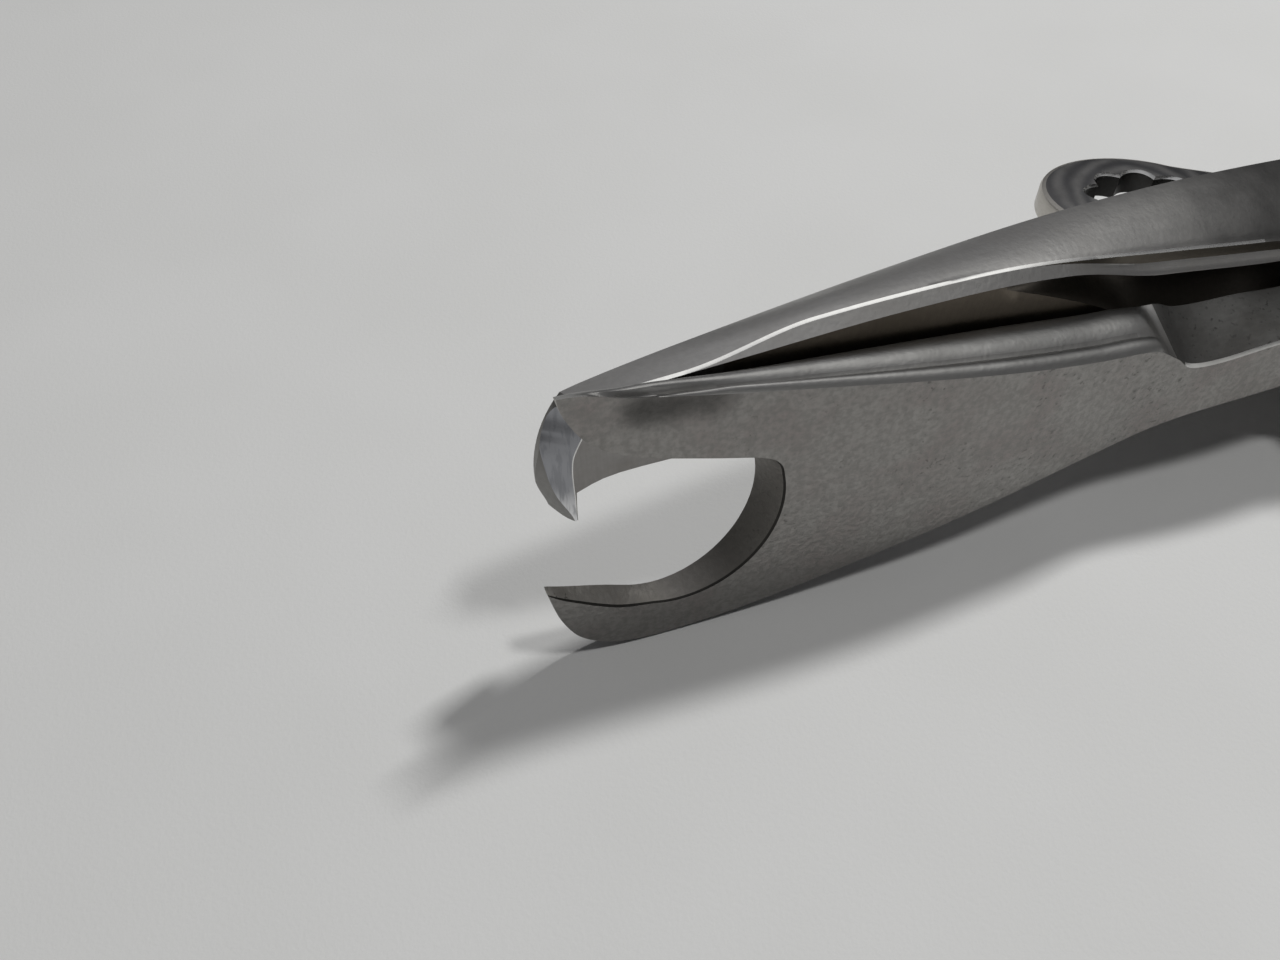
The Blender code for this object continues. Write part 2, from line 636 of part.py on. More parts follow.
def catch_lever(material):
    low, high = lever_low(), lever_low() + LEVER_T
    lever = flat_prism("catch_lever", eye_outline(), low, high, material)
    lobes = []
    for i in range(EYE_LOBES * 10):
        turn = 2 * math.pi * i / (EYE_LOBES * 10)
        radius = EYE_HOLE_R + EYE_LOBE_DEPTH * (2 * abs(math.sin(EYE_LOBES * turn / 2)) - 1)
        along = radius * (EYE_HOLE_STRETCH * math.cos(turn) + 0.15)
        across = radius * math.sin(turn)
        lobes.append((EYE_X + along * math.cos(EYE_TURN) - across * math.sin(EYE_TURN),
                      EYE_Y + along * math.sin(EYE_TURN) + across * math.cos(EYE_TURN)))
    boolean(lever, flat_prism("eye", lobes, low - LEVER_T, high + LEVER_T), "DIFFERENCE")
    hole = turned("hole", [(POST_R + CLEAR, low - LEVER_T), (POST_R + CLEAR, high + LEVER_T)], axis="Z",
                  at=(POST_X, POST_Y, 0), sides=24)
    boolean(lever, hole, "DIFFERENCE")
    finish(lever, world(POST_X, POST_Y, low))
    return lever


def lever_fixings(material, dark):
    at = (POST_X, POST_Y, 0)
    floor = handle_z(-1, POST_X)
    seat = post_seat()
    rest = seat + COLLAR_T
    head = lever_low() + LEVER_T + CLEAR
    rows = [(POST_R, floor + CLEAR), (POST_R, seat), (POST_FOOT_R, seat), (POST_FOOT_R, rest), (POST_R, rest),
            (POST_R, head), (POST_HEAD_R, head), (POST_HEAD_R, head + POST_HEAD_T * 0.5),
            (POST_HEAD_R * 0.7, head + POST_HEAD_T)]
    post = turned("lever_post", rows, material, 28, "Z", at)
    finish(post, world(*at))
    ring("lever_washer", POST_FOOT_R, POST_R + CLEAR, rest + CLEAR, WASHER_T, dark, "Z", at)
    x, y = stud_place()
    root = handle_z(1, x)
    seat = root - HANDLE_T / 2 - CLEAR * 2
    tip = lever_low() + LEVER_T + STUD_TIP_GAP
    rows = [(STUD_R, root - CLEAR), (STUD_R, seat), (STUD_HEAD_R, seat), (STUD_HEAD_R, seat - STUD_HEAD_T),
            (STUD_R, seat - STUD_HEAD_T), (STUD_R, tip + STUD_HEAD_T), (STUD_HEAD_R, tip + STUD_HEAD_T),
            (STUD_HEAD_R, tip)]
    stud = turned("catch_stud", rows, dark, 20, "Z", (x, y, 0))
    finish(stud, world(x, y, seat))


def build():
    clear_scene()
    satin = steel("satin_steel", STEEL, 0.42)
    bright = steel("polished_steel", POLISHED, 0.22)
    dark = steel("dark_steel", DARK_STEEL, 0.45)
    spring = steel("spring_steel", POLISHED, 0.3)
    hook_arm(bright)
    notched_arm(satin)
    pivot_parts(bright, dark)
    leaf("upper_leaf", 1, spring)
    leaf("lower_leaf", -1, spring)
    leaf_fixings("upper", 1, bright, dark)
    leaf_fixings("lower", -1, bright, dark)
    stop_parts(bright, dark)
    catch_lever(satin)
    lever_fixings(bright, dark)


build()
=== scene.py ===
import json
import math

import bmesh
import bpy
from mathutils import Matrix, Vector


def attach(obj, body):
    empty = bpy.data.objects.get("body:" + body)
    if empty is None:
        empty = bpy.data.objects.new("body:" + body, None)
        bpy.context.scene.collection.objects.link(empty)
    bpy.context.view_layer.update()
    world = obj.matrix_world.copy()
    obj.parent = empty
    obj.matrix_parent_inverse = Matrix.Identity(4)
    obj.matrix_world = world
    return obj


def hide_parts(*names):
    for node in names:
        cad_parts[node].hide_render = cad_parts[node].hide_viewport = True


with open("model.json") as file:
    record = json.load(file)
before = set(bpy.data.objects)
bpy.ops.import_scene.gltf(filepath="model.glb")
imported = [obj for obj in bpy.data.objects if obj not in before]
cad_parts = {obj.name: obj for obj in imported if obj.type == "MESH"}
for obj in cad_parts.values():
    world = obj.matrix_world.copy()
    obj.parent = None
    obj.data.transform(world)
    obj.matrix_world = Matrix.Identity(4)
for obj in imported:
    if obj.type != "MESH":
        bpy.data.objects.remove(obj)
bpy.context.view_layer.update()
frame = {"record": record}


# Sheet of plain pale paper that the trimmer lies on, lit by two soft lamps, and the camera close
# over the cutting head. The paper has a fine felted tooth and a slight warm and cool mottle.
class Wire:
    # One socket of a node tree; sums and products of wires add their Math nodes
    def __init__(self, tree, socket=None):
        self.tree, self.socket = tree, socket

    def node(self, kind, settings=None, sockets=None, out=0):
        made = self.tree.nodes.new(kind if "Node" in kind else "ShaderNode" + kind)
        for key, value in (settings or {}).items():
            setattr(made, key, value)
        for key, value in (sockets or {}).items():
            if isinstance(value, Wire):
                self.tree.links.new(value.socket, made.inputs[key])
            else:
                made.inputs[key].default_value = value
        return Wire(self.tree, made.outputs[out] if made.outputs else None)

    def sum(self, operation, first, second):
        return self.node("Math", {"operation": operation}, {0: first, 1: second})

    def __add__(self, other):
        return self.sum("ADD", self, other)

    def __radd__(self, other):
        return self.sum("ADD", other, self)

    def __sub__(self, other):
        return self.sum("SUBTRACT", self, other)

    def __rsub__(self, other):
        return self.sum("SUBTRACT", other, self)

    def __mul__(self, other):
        return self.sum("MULTIPLY", self, other)

    def __rmul__(self, other):
        return self.sum("MULTIPLY", other, self)


def new_material(name):
    material = bpy.data.materials.new(name)
    material.use_nodes = True
    material.node_tree.nodes.clear()
    return material, Wire(material.node_tree)


def grain(tree, per_mm, detail=3.0, offset=(0.0, 0.0, 0.0)):
    # Noise on the piece's own coordinates, with so many grains to the millimetre each way
    spot = tree.node("TexCoord", out=3)
    scaled_spot = tree.node("Mapping", None, {"Vector": spot, "Location": offset,
                                              "Scale": [1000.0 * side for side in per_mm]})
    return tree.node("TexNoise", None, {"Vector": scaled_spot, "Scale": 1.0, "Detail": detail,
                                        "Roughness": 0.55})


def level(value, low, high):
    return value.node("MapRange", {"interpolation_type": "SMOOTHSTEP"},
                      {"Value": value, "From Min": low, "From Max": high})


def tint(share, first, second):
    colours = [(*c, 1.0) if isinstance(c, tuple) else c for c in (first, second)]
    return share.node("Mix", {"data_type": "RGBA"}, {0: share, 6: colours[0], 7: colours[1]}, out=2)


def finish_surface(material, tree, sockets, height, depth_mm, strength):
    # Shader with its bumps; the height map spans so many millimetres
    bump = tree.node("Bump", None, {"Height": height, "Distance": depth_mm * 0.001, "Strength": strength})
    shader = tree.node("BsdfPrincipled", None, {**sockets, "Normal": bump})
    tree.node("OutputMaterial", None, {"Surface": shader})
    return material


def paper_surface():
    material, tree = new_material("paper")
    tooth = grain(tree, (4.0, 4.0, 4.0), 5.0)
    mottle = grain(tree, (0.06, 0.06, 0.06), 2.0)
    colour = tint(level(mottle, 0.3, 0.7), (0.725, 0.725, 0.718), (0.745, 0.745, 0.74))
    return finish_surface(material, tree, {"Base Color": colour, "Roughness": 0.92}, tooth, 0.05, 0.35)


PAPER_SIDE, PAPER_Z = 2.0, -0.00003
paper_mesh = bpy.data.meshes.new("paper")
corner = PAPER_SIDE / 2
paper_mesh.from_pydata([(-corner, -corner, PAPER_Z), (corner, -corner, PAPER_Z),
                        (corner, corner, PAPER_Z), (-corner, corner, PAPER_Z)], [], [(0, 1, 2, 3)])
paper_mesh.materials.append(paper_surface())
paper = bpy.data.objects.new("paper", paper_mesh)
scene = bpy.context.scene
scene.collection.objects.link(paper)

scene.view_settings.view_transform = "Standard"
SENSOR_W, FOCAL_SHARE = 36.0, 1100 / 1280
lens = bpy.data.cameras.new("camera")
lens.sensor_width = SENSOR_W
lens.lens = SENSOR_W * FOCAL_SHARE
lens.clip_start = 0.001
camera = bpy.data.objects.new("camera", lens)
camera.location = (-0.07646, -0.03429, 0.04911)
camera.rotation_euler = (math.radians(40), 0.0, math.radians(-22))
scene.collection.objects.link(camera)
scene.camera = camera


HEAD_AT = Vector((-0.05, 0.0, 0.008))
LAMP_FAR, LAMP_SIDE, LAMP_COLOUR = 0.5, 0.054, (1.0, 1.0, 0.99)


def lamp(name, towards, power):
    # Square soft lamp that faces the cutting head from the given direction; the steel doesn't mirror it
    light = bpy.data.lights.new(name, "AREA")
    light.shape, light.size, light.energy, light.color = "SQUARE", LAMP_SIDE, power, LAMP_COLOUR
    item = bpy.data.objects.new(name, light)
    away = Vector(towards).normalized()
    item.location = HEAD_AT + away * LAMP_FAR
    item.rotation_euler = away.to_track_quat("Z", "Y").to_euler()
    item.visible_glossy = False
    scene.collection.objects.link(item)


lamp("window_lamp", (0.50, 0.20, 1.0), 1.36)
lamp("front_lamp", (0.26, -0.27, 1.0), 0.62)

# The steel mirrors a plain room, dark to the right, with one bright window; the paper gets only a dim glow
WINDOW = (0.53, -0.03, 0.85)
world = bpy.data.worlds.new("room")
world.use_nodes = True
world.node_tree.nodes.clear()
sky = Wire(world.node_tree)
towards = sky.node("TexCoord", out=0)
height = sky.node("SeparateXYZ", None, {0: towards}, out=2)
rightward = sky.node("SeparateXYZ", None, {0: towards}, out=0)
facing = sky.node("VectorMath", {"operation": "DOT_PRODUCT"}, {0: towards, 1: WINDOW}, out=1)
dim_room = tint(level(height, -0.2, 0.9), (0.03, 0.03, 0.03), (0.07, 0.07, 0.073))
seen_room = tint(level(height, 0.0, 0.95), (0.10, 0.10, 0.10), (0.44, 0.44, 0.45))
seen_room = tint(level(rightward, 0.42, 0.72) * 0.7, seen_room, (0.08, 0.08, 0.083))
seen_room = tint(level(facing, 0.90, 0.985), seen_room, (1.30, 1.30, 1.28))
room_colour = tint(sky.node("LightPath", out=3), dim_room, seen_room)
room = sky.node("Background", None, {"Color": room_colour, "Strength": 1.0})
sky.node("OutputWorld", None, {"Surface": room})
scene.world = world


# Hooked arm: forged stainless bar with a hooked cutting jaw. Its back is polished, the inside is
# hollow ground, and the neck is turned flat at the joint. The lower handle is forged in one with it.
# Sizes here are in millimetres from the joint's axis, and shares u, v in notch radii from the notch.
NOTCH_R, JAW_REACH = 5.5, 45.0
LAP, RELIEF = 0.15, 0.05
JOINT_R, JOINT_T = 6.2, 3.6
HOOK_T, NECK_T = 1.15, 4.8
HANDLE_LEN, HANDLE_W, HANDLE_ROOT_W, HANDLE_T = 88.0, 11.0, 8.0, 4.0
HANDLE_RISE, HANDLE_DROP = 13.8, 6.7
MM = 0.001
joints = {joint["name"]: joint for joint in frame["record"]["behaviour"]["joints"]}
AXIS = Vector(joints["jaw_pivot"]["pos_m"])


def place(x, y, z):
    return Vector((AXIS.x + x * MM, AXIS.y + y * MM, AXIS.z + z * MM))


def ease(share):
    share = min(1.0, max(0.0, share))
    return share * share * (3 - 2 * share)


def through(knots):
    # Smooth height along a run of knots, level with its neighbours' slope
    def at(u):
        if u <= knots[0][0]:
            return knots[0][1]
        for i in range(len(knots) - 1):
            (a, p), (b, q) = knots[i], knots[i + 1]
            if u <= b:
                before, after = knots[max(i - 1, 0)], knots[min(i + 2, len(knots) - 1)]
                rise_a = (q - before[1]) / (b - before[0])
                rise_b = (after[1] - p) / (after[0] - a)
                t, wide = (u - a) / (b - a), b - a
                return (p * (1 + 2 * t) * (1 - t) ** 2 + q * t * t * (3 - 2 * t)
                        + rise_a * wide * t * (1 - t) ** 2 - rise_b * wide * t * t * (1 - t))
        return knots[-1][1]
    return at


def columns(stations):
    # Places along the jaw, packed as (end, step) runs ask
    spots = [stations[0][0]]
    for end, step in stations[1:]:
        count = max(1, round((end - spots[-1]) / step))
        start = spots[-1]
        spots += [start + (end - start) * (i + 1) / count for i in range(count)]
    return spots


def link_mesh(name, bm, materials):
    bmesh.ops.recalc_face_normals(bm, faces=bm.faces)
    mesh = bpy.data.meshes.new(name)
    bm.to_mesh(mesh)
    bm.free()
    for material in materials:
        mesh.materials.append(material)
    item = bpy.data.objects.new(name, mesh)
    scene.collection.objects.link(item)
    return item


def skin(name, rings, finish_of, materials):
    # Closed body through rings of points; finish_of(column, row) gives each face's finish
    bm = bmesh.new()
    verts = [[bm.verts.new(place(*spot)) for spot in ring] for ring in rings]
    count = len(rings[0])
    for c, (low, high) in enumerate(zip(verts, verts[1:])):
        for i in range(count):
            j = (i + 1) % count
            face = bm.faces.new((low[i], low[j], high[j], high[i]))
            face.material_index = finish_of(c, i)
    bm.faces.new(verts[0]).material_index = finish_of(0, 0)
    bm.faces.new(verts[-1]).material_index = finish_of(len(rings) - 2, 0)
    return link_mesh(name, bm, materials)


def turned(name, rows, material, sides=64, axis="Y", at=(0.0, 0.0, 0.0)):
    # Turned body: rows hold (radius, place along the axis)
    rings = []
    for radius, along in rows:
        ring = []
        for i in range(sides):
            turn = 2 * math.pi * i / sides
            u, v = radius * math.cos(turn), radius * math.sin(turn)
            point = (u, along, v) if axis == "Y" else (u, v, along)
            ring.append(tuple(a + b for a, b in zip(at, point)))
        rings.append(ring)
    return skin(name, rings, lambda c, i: 0, [material])


def carve(item, tool, operation="DIFFERENCE"):
    # Join or cut two bodies; a cut face takes the tool's finish
    modifier = item.modifiers.new("carve", "BOOLEAN")
    modifier.operation, modifier.solver, modifier.object = operation, "EXACT", tool
    modifier.material_mode = "TRANSFER"
    graph = bpy.context.evaluated_depsgraph_get()
    mesh = bpy.data.meshes.new_from_object(item.evaluated_get(graph))
    item.modifiers.clear()
    item.data = mesh
    bpy.data.objects.remove(tool, do_unlink=True)


def settle(item, body, slot, *replaced, angle=32):
    # Weld, shade and hand the piece to its body
    bm = bmesh.new()
    bm.from_mesh(item.data)
    bmesh.ops.remove_doubles(bm, verts=bm.verts, dist=0.000002)
    bmesh.ops.dissolve_degenerate(bm, edges=bm.edges, dist=0.000001)
    bmesh.ops.triangulate(bm, faces=[face for face in bm.faces if len(face.verts) > 4])
    bmesh.ops.recalc_face_normals(bm, faces=bm.faces)
    bm.to_mesh(item.data)
    bm.free()
    item.data.shade_smooth()
    item.data.set_sharp_from_angle(angle=math.radians(angle))
    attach(item, body)
    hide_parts(*replaced)
    return item


LOW_SHADE_TOP = 0.0042


def steel(name, colour, stain, roughness, brush, brush_depth, pits, stain_share=0.5, peel_depth=0.45,
          brush_show=0.40, peel_show=0.20, low_shade=0.0, dull=()):
    # Steel with brush marks, cloudy stains, small pits and painted shade low down. The brush is in grains
    # per millimetre each way. A dark spot has its middle, its inner and outer reach in millimetres, and its
    # strength.
    material, tree = new_material(name)
    cloud = grain(tree, (0.35, 0.35, 0.35), 4.0)
    marks = grain(tree, brush, 3.0)
    peel = level(grain(tree, (3.2, 3.2, 3.2), 3.0, (7.0, 3.0, 1.0)), 0.30, 0.70)
    patch = level(grain(tree, (0.22, 0.22, 0.22), 2.0, (4.0, 1.0, 8.0)), 0.45, 0.65)
    specks = level(grain(tree, (3.4, 3.4, 3.4), 3.0, (2.0, 9.0, 5.0)), 0.60, 0.70) * patch * pits
    stains = level(cloud, 0.42, 0.72) * stain_share
    base = tint(stains, colour, stain)
    base = tint(marks * brush_show + peel * peel_show, base, tuple(0.70 * c for c in colour))
    # Painted shade: darker towards the paper, where the face mirrors its own shadow
    if low_shade:
        height = tree.node("SeparateXYZ", None, {0: tree.node("TexCoord", out=3)}, out=2)
        low_down = 1.0 - level(height, 0.0, LOW_SHADE_TOP)
        base = tint(low_down * low_shade * (0.6 + 0.8 * cloud), base, tuple(0.28 * c for c in colour))
    # A dark spot darkens the colour round its middle; what each one stands for is said where it is given
    for middle, near, far, share in dull:
        gap = tree.node("VectorMath", {"operation": "DISTANCE"},
                        {0: tree.node("TexCoord", out=3), 1: middle}, out=1)
        dark = 1.0 - level(gap * 1000.0 + far * 0.5 * (cloud - 0.5), near, far)
        base = tint(dark * share, base, tuple(0.12 * c for c in colour))
    base = tint(specks * 0.8, base, tuple(0.25 * c for c in colour))
    rough = roughness + 0.14 * (cloud - 0.5) + 0.14 * (marks - 0.5) + 0.2 * specks
    relief = marks * brush_depth + peel * peel_depth - specks * 0.8
    return finish_surface(material, tree, {"Base Color": base, "Metallic": 1.0, "Roughness": rough},
                          relief, 0.02, 0.5)


def jaw_spot(u, y, v):
    # Spot on a jaw: u and v in notch radii, y in millimetres
    return place(u * NOTCH_R - JAW_REACH, y, v * NOTCH_R)


# A darker patch over the polished back, strongest towards the joint
NECK_DARK_PATCH = (jaw_spot(7.6, 2.0, 0.8), 4.0, 22.0, 0.92)
hook_polish = steel("hook_polish", (0.60, 0.59, 0.575), (0.46, 0.445, 0.425), 0.44,
                    brush=(0.14, 2.2, 2.2), brush_depth=0.3, pits=0.05, brush_show=0.85,
                    dull=[NECK_DARK_PATCH])
hook_ground = steel("hook_ground", (0.31, 0.30, 0.29), (0.24, 0.22, 0.20), 0.42, brush=(9.0, 1.0, 0.35),
                    brush_depth=0.8, pits=0.10)
hook_land = steel("hook_land", (0.20, 0.172, 0.138), (0.14, 0.117, 0.088), 0.46, brush=(7.0, 1.0, 0.35),
                  brush_depth=0.6, pits=0.15)
hook_shade = steel("hook_shade", (0.11, 0.098, 0.08), (0.08, 0.07, 0.055), 0.40, brush=(6.0, 2.0, 2.0),
                   brush_depth=0.4, pits=0.1)
# Painted shade: the hollow's near-black colour stands for the deep shade inside it
hook_hollow_shade = steel("hook_hollow_shade", (0.15, 0.135, 0.115), (0.09, 0.08, 0.06), 0.48, brush=(6.0, 1.0, 0.5),
                    brush_depth=0.5, pits=0.2)
hook_facet = steel("hook_facet", (0.56, 0.55, 0.53), (0.45, 0.43, 0.40), 0.34, brush=(6.0, 2.0, 2.0),
                   brush_depth=0.4, pits=0.08)
crease_shine = steel("crease_shine", (0.82, 0.815, 0.80), (0.72, 0.71, 0.69), 0.26, brush=(0.3, 2.0, 2.0),
                     brush_depth=0.1, pits=0.0, stain_share=0.3, peel_depth=0.05)
hook_outer = steel("hook_outer", (0.25, 0.245, 0.235), (0.17, 0.16, 0.15), 0.40, brush=(6.0, 3.0, 0.8),
                   brush_depth=0.35, pits=0.3)
hook_satin = steel("hook_satin", (0.50, 0.49, 0.475), (0.42, 0.40, 0.37), 0.40, brush=(0.4, 5.0, 5.0),
                   brush_depth=0.6, pits=0.12)


def ground_point(name):
    # Ground hook facet: bluish and streaked along the hook, with a painted highlight that makes it lightest
    # at its point
    material, tree = new_material(name)
    height = tree.node("SeparateXYZ", None, {0: tree.node("TexCoord", out=3)}, out=2)
    streaks = grain(tree, (5.0, 3.0, 0.5), 4.0)
    # Painted highlight: the colour grows lighter lower down, towards the point
    bright = 1.0 - level(height + 0.0012 * (streaks - 0.5), 0.0098, 0.0122)
    base = tint(bright, (0.33, 0.335, 0.355), (0.88, 0.88, 0.89))
    base = tint(level(streaks, 0.50, 0.62) * 0.5, base, (0.23, 0.235, 0.25))
    return finish_surface(material, tree, {"Base Color": base, "Metallic": 1.0,
                                           "Roughness": 0.24 + 0.2 * streaks}, streaks, 0.02, 0.4)


hook_edge = ground_point("hook_edge")
FACET_LOW = through([(-1.2, 1.44), (-0.6, 1.50), (0.7, 1.51), (2.0, 1.51), (3.3, 1.42), (4.9, 1.115),
                     (6.3, 0.84), (7.5, 0.70)])
HOOK_UNDER = through([(0.9, -0.25), (1.15, 0.25), (1.7, 0.30), (4.1, 0.05), (7.0, -0.12), (7.6, -0.30)])
HOLLOW_LOW = through([(3.0, 1.43), (3.65, 1.13), (4.3, 0.78), (4.8, 0.38), (5.4, 0.05), (7.6, 0.0)])
HOOK_FRONT = LAP + RELIEF
HOLLOW_DEEP = 2.2
FACET_BACK, FACET_UP, CREASE_ROUND = 0.50, 0.45, 0.16
BACK_TOP = through([(-1.2, 1.38), (-0.6, 1.45), (0.7, 1.49), (2.0, 1.51), (3.6, 1.50), (5.0, 1.41),
                    (6.2, 1.27), (7.5, 1.08)])
BAND_BULGE, STRIP_DROP = 0.26, 0.55
HOLLOW_FROM, SHADE_FROM, STRIP_FROM = 3.0, 3.3, 3.7
SHADE_ROWS, FACET_ROWS, HOLLOW_ROWS, LAND_ROWS, BAND_ROWS = 4, 9, 12, 10, 14
LAND_FROM = FACET_ROWS + HOLLOW_ROWS - 1
BACK_FROM = LAND_FROM + LAND_ROWS - 1
CREASE_ROW = BACK_FROM + 3 + BAND_ROWS


def hook_back(u):
    share = max(0.0, (u + 1.05) / ((JAW_REACH - JOINT_R) / NOTCH_R + 1.05)) ** 0.8
    return LAP + RELIEF + HOOK_T + (NECK_T - HOOK_T) * share


def hook_ring(u):
    # From the crease down the facet, the hollow and the land, then up the back and over the band
    x = u * NOTCH_R - JAW_REACH
    back = hook_back(u)
    facet = ease((u - 0.1) / 1.2) * (1 - 0.6 * ease((u - 6.0) / 1.2))
    top = FACET_LOW(u) * NOTCH_R
    crease, crease_y = top + FACET_UP * facet, HOOK_FRONT + FACET_BACK * facet
    back_top = BACK_TOP(u) * NOTCH_R
    under = HOOK_UNDER(u) * NOTCH_R
    steep = ease((u - STRIP_FROM) / 1.1)
    low = min(max(HOLLOW_LOW(u) * NOTCH_R, under + 0.05), top - 0.05 - STRIP_DROP * steep)
    deep = HOLLOW_DEEP * ease((u - HOLLOW_FROM) / 1.3) * (1 - 0.75 * ease((u - 6.2) / 0.8))
    top -= STRIP_DROP * steep
    shade = 0.02 + 0.53 * ease((u - SHADE_FROM) / 1.3)
    ring = []
    for i in range(FACET_ROWS):
        t = shade * (i + 0.1) / SHADE_ROWS
        if i > SHADE_ROWS:
            t = shade + (1 - shade) * (i - SHADE_ROWS) / (FACET_ROWS - 1 - SHADE_ROWS)
        forward = t + (ease((t - 0.5) / 0.5) - t) * steep
        ring.append((x, crease_y + (HOOK_FRONT - crease_y) * forward, crease + (top - crease) * t))
    for i in range(1, HOLLOW_ROWS):
        t = i / HOLLOW_ROWS
        sink = math.sin(math.pi * t ** 0.75) ** 0.6
        ring.append((x, HOOK_FRONT + deep * sink, top + (low - top) * t))
    for i in range(LAND_ROWS):
        t = i / (LAND_ROWS - 1)
        ring.append((x, HOOK_FRONT, low + (under - low) * t))
    ring.append((x, back, under))
    ring.append((x, back, (under + top) / 2))
    for i in range(BAND_ROWS):
        t = i / BAND_ROWS
        bulge = BAND_BULGE * ease((u + 0.6) / 2.2) * math.sin(math.pi * t) ** 0.8
        ring.append((x, back + (crease_y - back) * t, back_top + (crease - back_top) * t + bulge))
    ring.append((x, crease_y + CREASE_ROUND, crease + CREASE_ROUND * 0.38))
    return ring


hook_columns = columns([(-1.12, 0), (-0.6, 0.02), (1.0, 0.06), (1.5, 0.04), (4.4, 0.08), (4.95, 0.03),
                        (7.5, 0.08)])
hook_finishes = [hook_polish, hook_ground, hook_hollow_shade, crease_shine, hook_facet, hook_land, hook_shade]


def hook_finish(column, row):
    u = hook_columns[column]
    if row == CREASE_ROW:
        finish = crease_shine if -0.3 < u < 6.0 else hook_polish
    elif row >= BACK_FROM:
        finish = hook_polish
    elif row < FACET_ROWS - 1:
        finish = hook_shade if row < SHADE_ROWS and u > SHADE_FROM else hook_facet
    elif row < LAND_FROM and u > HOLLOW_FROM:
        finish = hook_hollow_shade
    else:
        finish = hook_land if u > 0.45 else hook_ground
    return hook_finishes.index(finish)


hook_arm = skin("hook_bar", [hook_ring(u) for u in hook_columns], hook_finish, hook_finishes)


def scaled(points):
    return [(u * NOTCH_R - JAW_REACH, v * NOTCH_R) for u, v in points]


def soften(points, steps=4):
    # Rounded run of points through the given ones
    ends = [points[0], *points, points[-1]]
    run = []
    for a, b, c, d in zip(ends, ends[1:], ends[2:], ends[3:]):
        for i in range(steps):
            t = i / steps
            run.append(tuple(0.5 * (2 * q + (r - p) * t + (2 * p - 5 * q + 4 * r - s) * t * t
                                    + (3 * q - p - 3 * r + s) * t ** 3) for p, q, r, s in zip(a, b, c, d)))
    return run + [points[-1]]


ARCH = [(1.15, 0.25), (0.5, 0.52), (-0.4, 0.61), (-0.77, 0.52)]
POINT = [(-0.77, 0.52), (-0.775, 0.35), (-0.775, 0.17)]
BEAK = [(-0.775, 0.17), (-0.87, 0.14), (-1.005, 0.27), (-1.05, 0.6), (-1.03, 0.9), (-0.94, 1.19),
        (-0.78, 1.43), (-0.60, 1.52)]
inside = soften(ARCH)[:-1] + soften(POINT, 3)[:-1]
mouth = scaled(inside + soften(BEAK) + [(-0.58, 2.4), (-2.2, 2.4), (-2.2, -1.2), (1.15, -1.2)])
carve(hook_arm, skin("mouth", [[(x, y, z) for x, z in mouth] for y in (-9.0, 9.0)],
                     lambda c, i: 0 if i < len(inside) else 1, [hook_ground, hook_outer]))

INNER_EDGE = through([(-0.2, -0.78), (0.4, -0.78), (0.9, -0.78), (1.14, -0.69), (1.3, -0.60), (1.7, -0.55)])
FACET_EDGE = through([(-0.2, -0.78), (0.16, -0.80), (0.5, -0.93), (0.8, -0.99), (1.1, -1.0), (1.3, -0.93),
                      (1.42, -0.74), (1.7, -0.60)])

# The hook's cutting facet is ground with a stone that twists as it climbs and leaves a fine bright edge
INNER_LEAN, TOP_LEAN, OUTER_LEAN, BURR_WIDE = 0.34, 0.74, 1.5, 0.009
STONE_LOW, STONE_HIGH, STONE_STEPS = -0.15, 1.65, 64
STONE_U, STONE_Y = -1.4, -4.0
stone = []
for i in range(STONE_STEPS):
    v = STONE_LOW + (STONE_HIGH - STONE_LOW) * i / (STONE_STEPS - 1)
    inner = INNER_EDGE(v)
    burr = inner - BURR_WIDE * ease((v - 0.2) / 0.2)
    split = min(FACET_EDGE(v), burr - 0.004)
    lean = INNER_LEAN + (TOP_LEAN - INNER_LEAN) * ease((v - 0.75) / 0.5)
    burr_y = HOOK_FRONT + lean * (inner - burr) * NOTCH_R
    split_y = HOOK_FRONT + lean * (inner - split) * NOTCH_R
    outer_y = split_y + OUTER_LEAN * (split - STONE_U) * NOTCH_R
    section = [(inner, HOOK_FRONT - 0.002), (burr, burr_y), (split, split_y), (STONE_U, outer_y),
               (STONE_U, STONE_Y), (inner, STONE_Y)]
    stone.append([(u * NOTCH_R - JAW_REACH, y, v * NOTCH_R) for u, y in section])
carve(hook_arm, skin("stone", stone, lambda c, i: (2, 0, 1, 0, 0, 0)[i],
                     [hook_edge, hook_outer, crease_shine]))
UPPER_FALL, LOWER_LIFT, ROUND_SHARE = 3.0, 1.2, 0.07


def handle_path(side):
    # Middle line of the upper or the lower handle: out from the joint, level, then in towards the other
    flat = HANDLE_RISE if side > 0 else -HANDLE_DROP
    end = flat - UPPER_FALL if side > 0 else flat + LOWER_LIFT
    knots = [(JOINT_R * 0.55, flat * 0.10), (JOINT_R * 1.45, flat * 0.45), (HANDLE_LEN * 0.20, flat * 0.80),
             (HANDLE_LEN * 0.28, flat * 0.97)]
    knots += [(HANDLE_LEN * share, flat) for share in (0.36, 0.44, 0.54, 0.62)]
    knots += [(HANDLE_LEN * 0.80, flat + (end - flat) * 0.25), (HANDLE_LEN, end)]
    return soften(knots, 8)


def handle_z(side, x):
    path = handle_path(side)
    for a, b in zip(path, path[1:]):
        if a[0] <= x <= b[0]:
            return a[1] + (b[1] - a[1]) * (x - a[0]) / (b[0] - a[0])
    return path[-1][1]


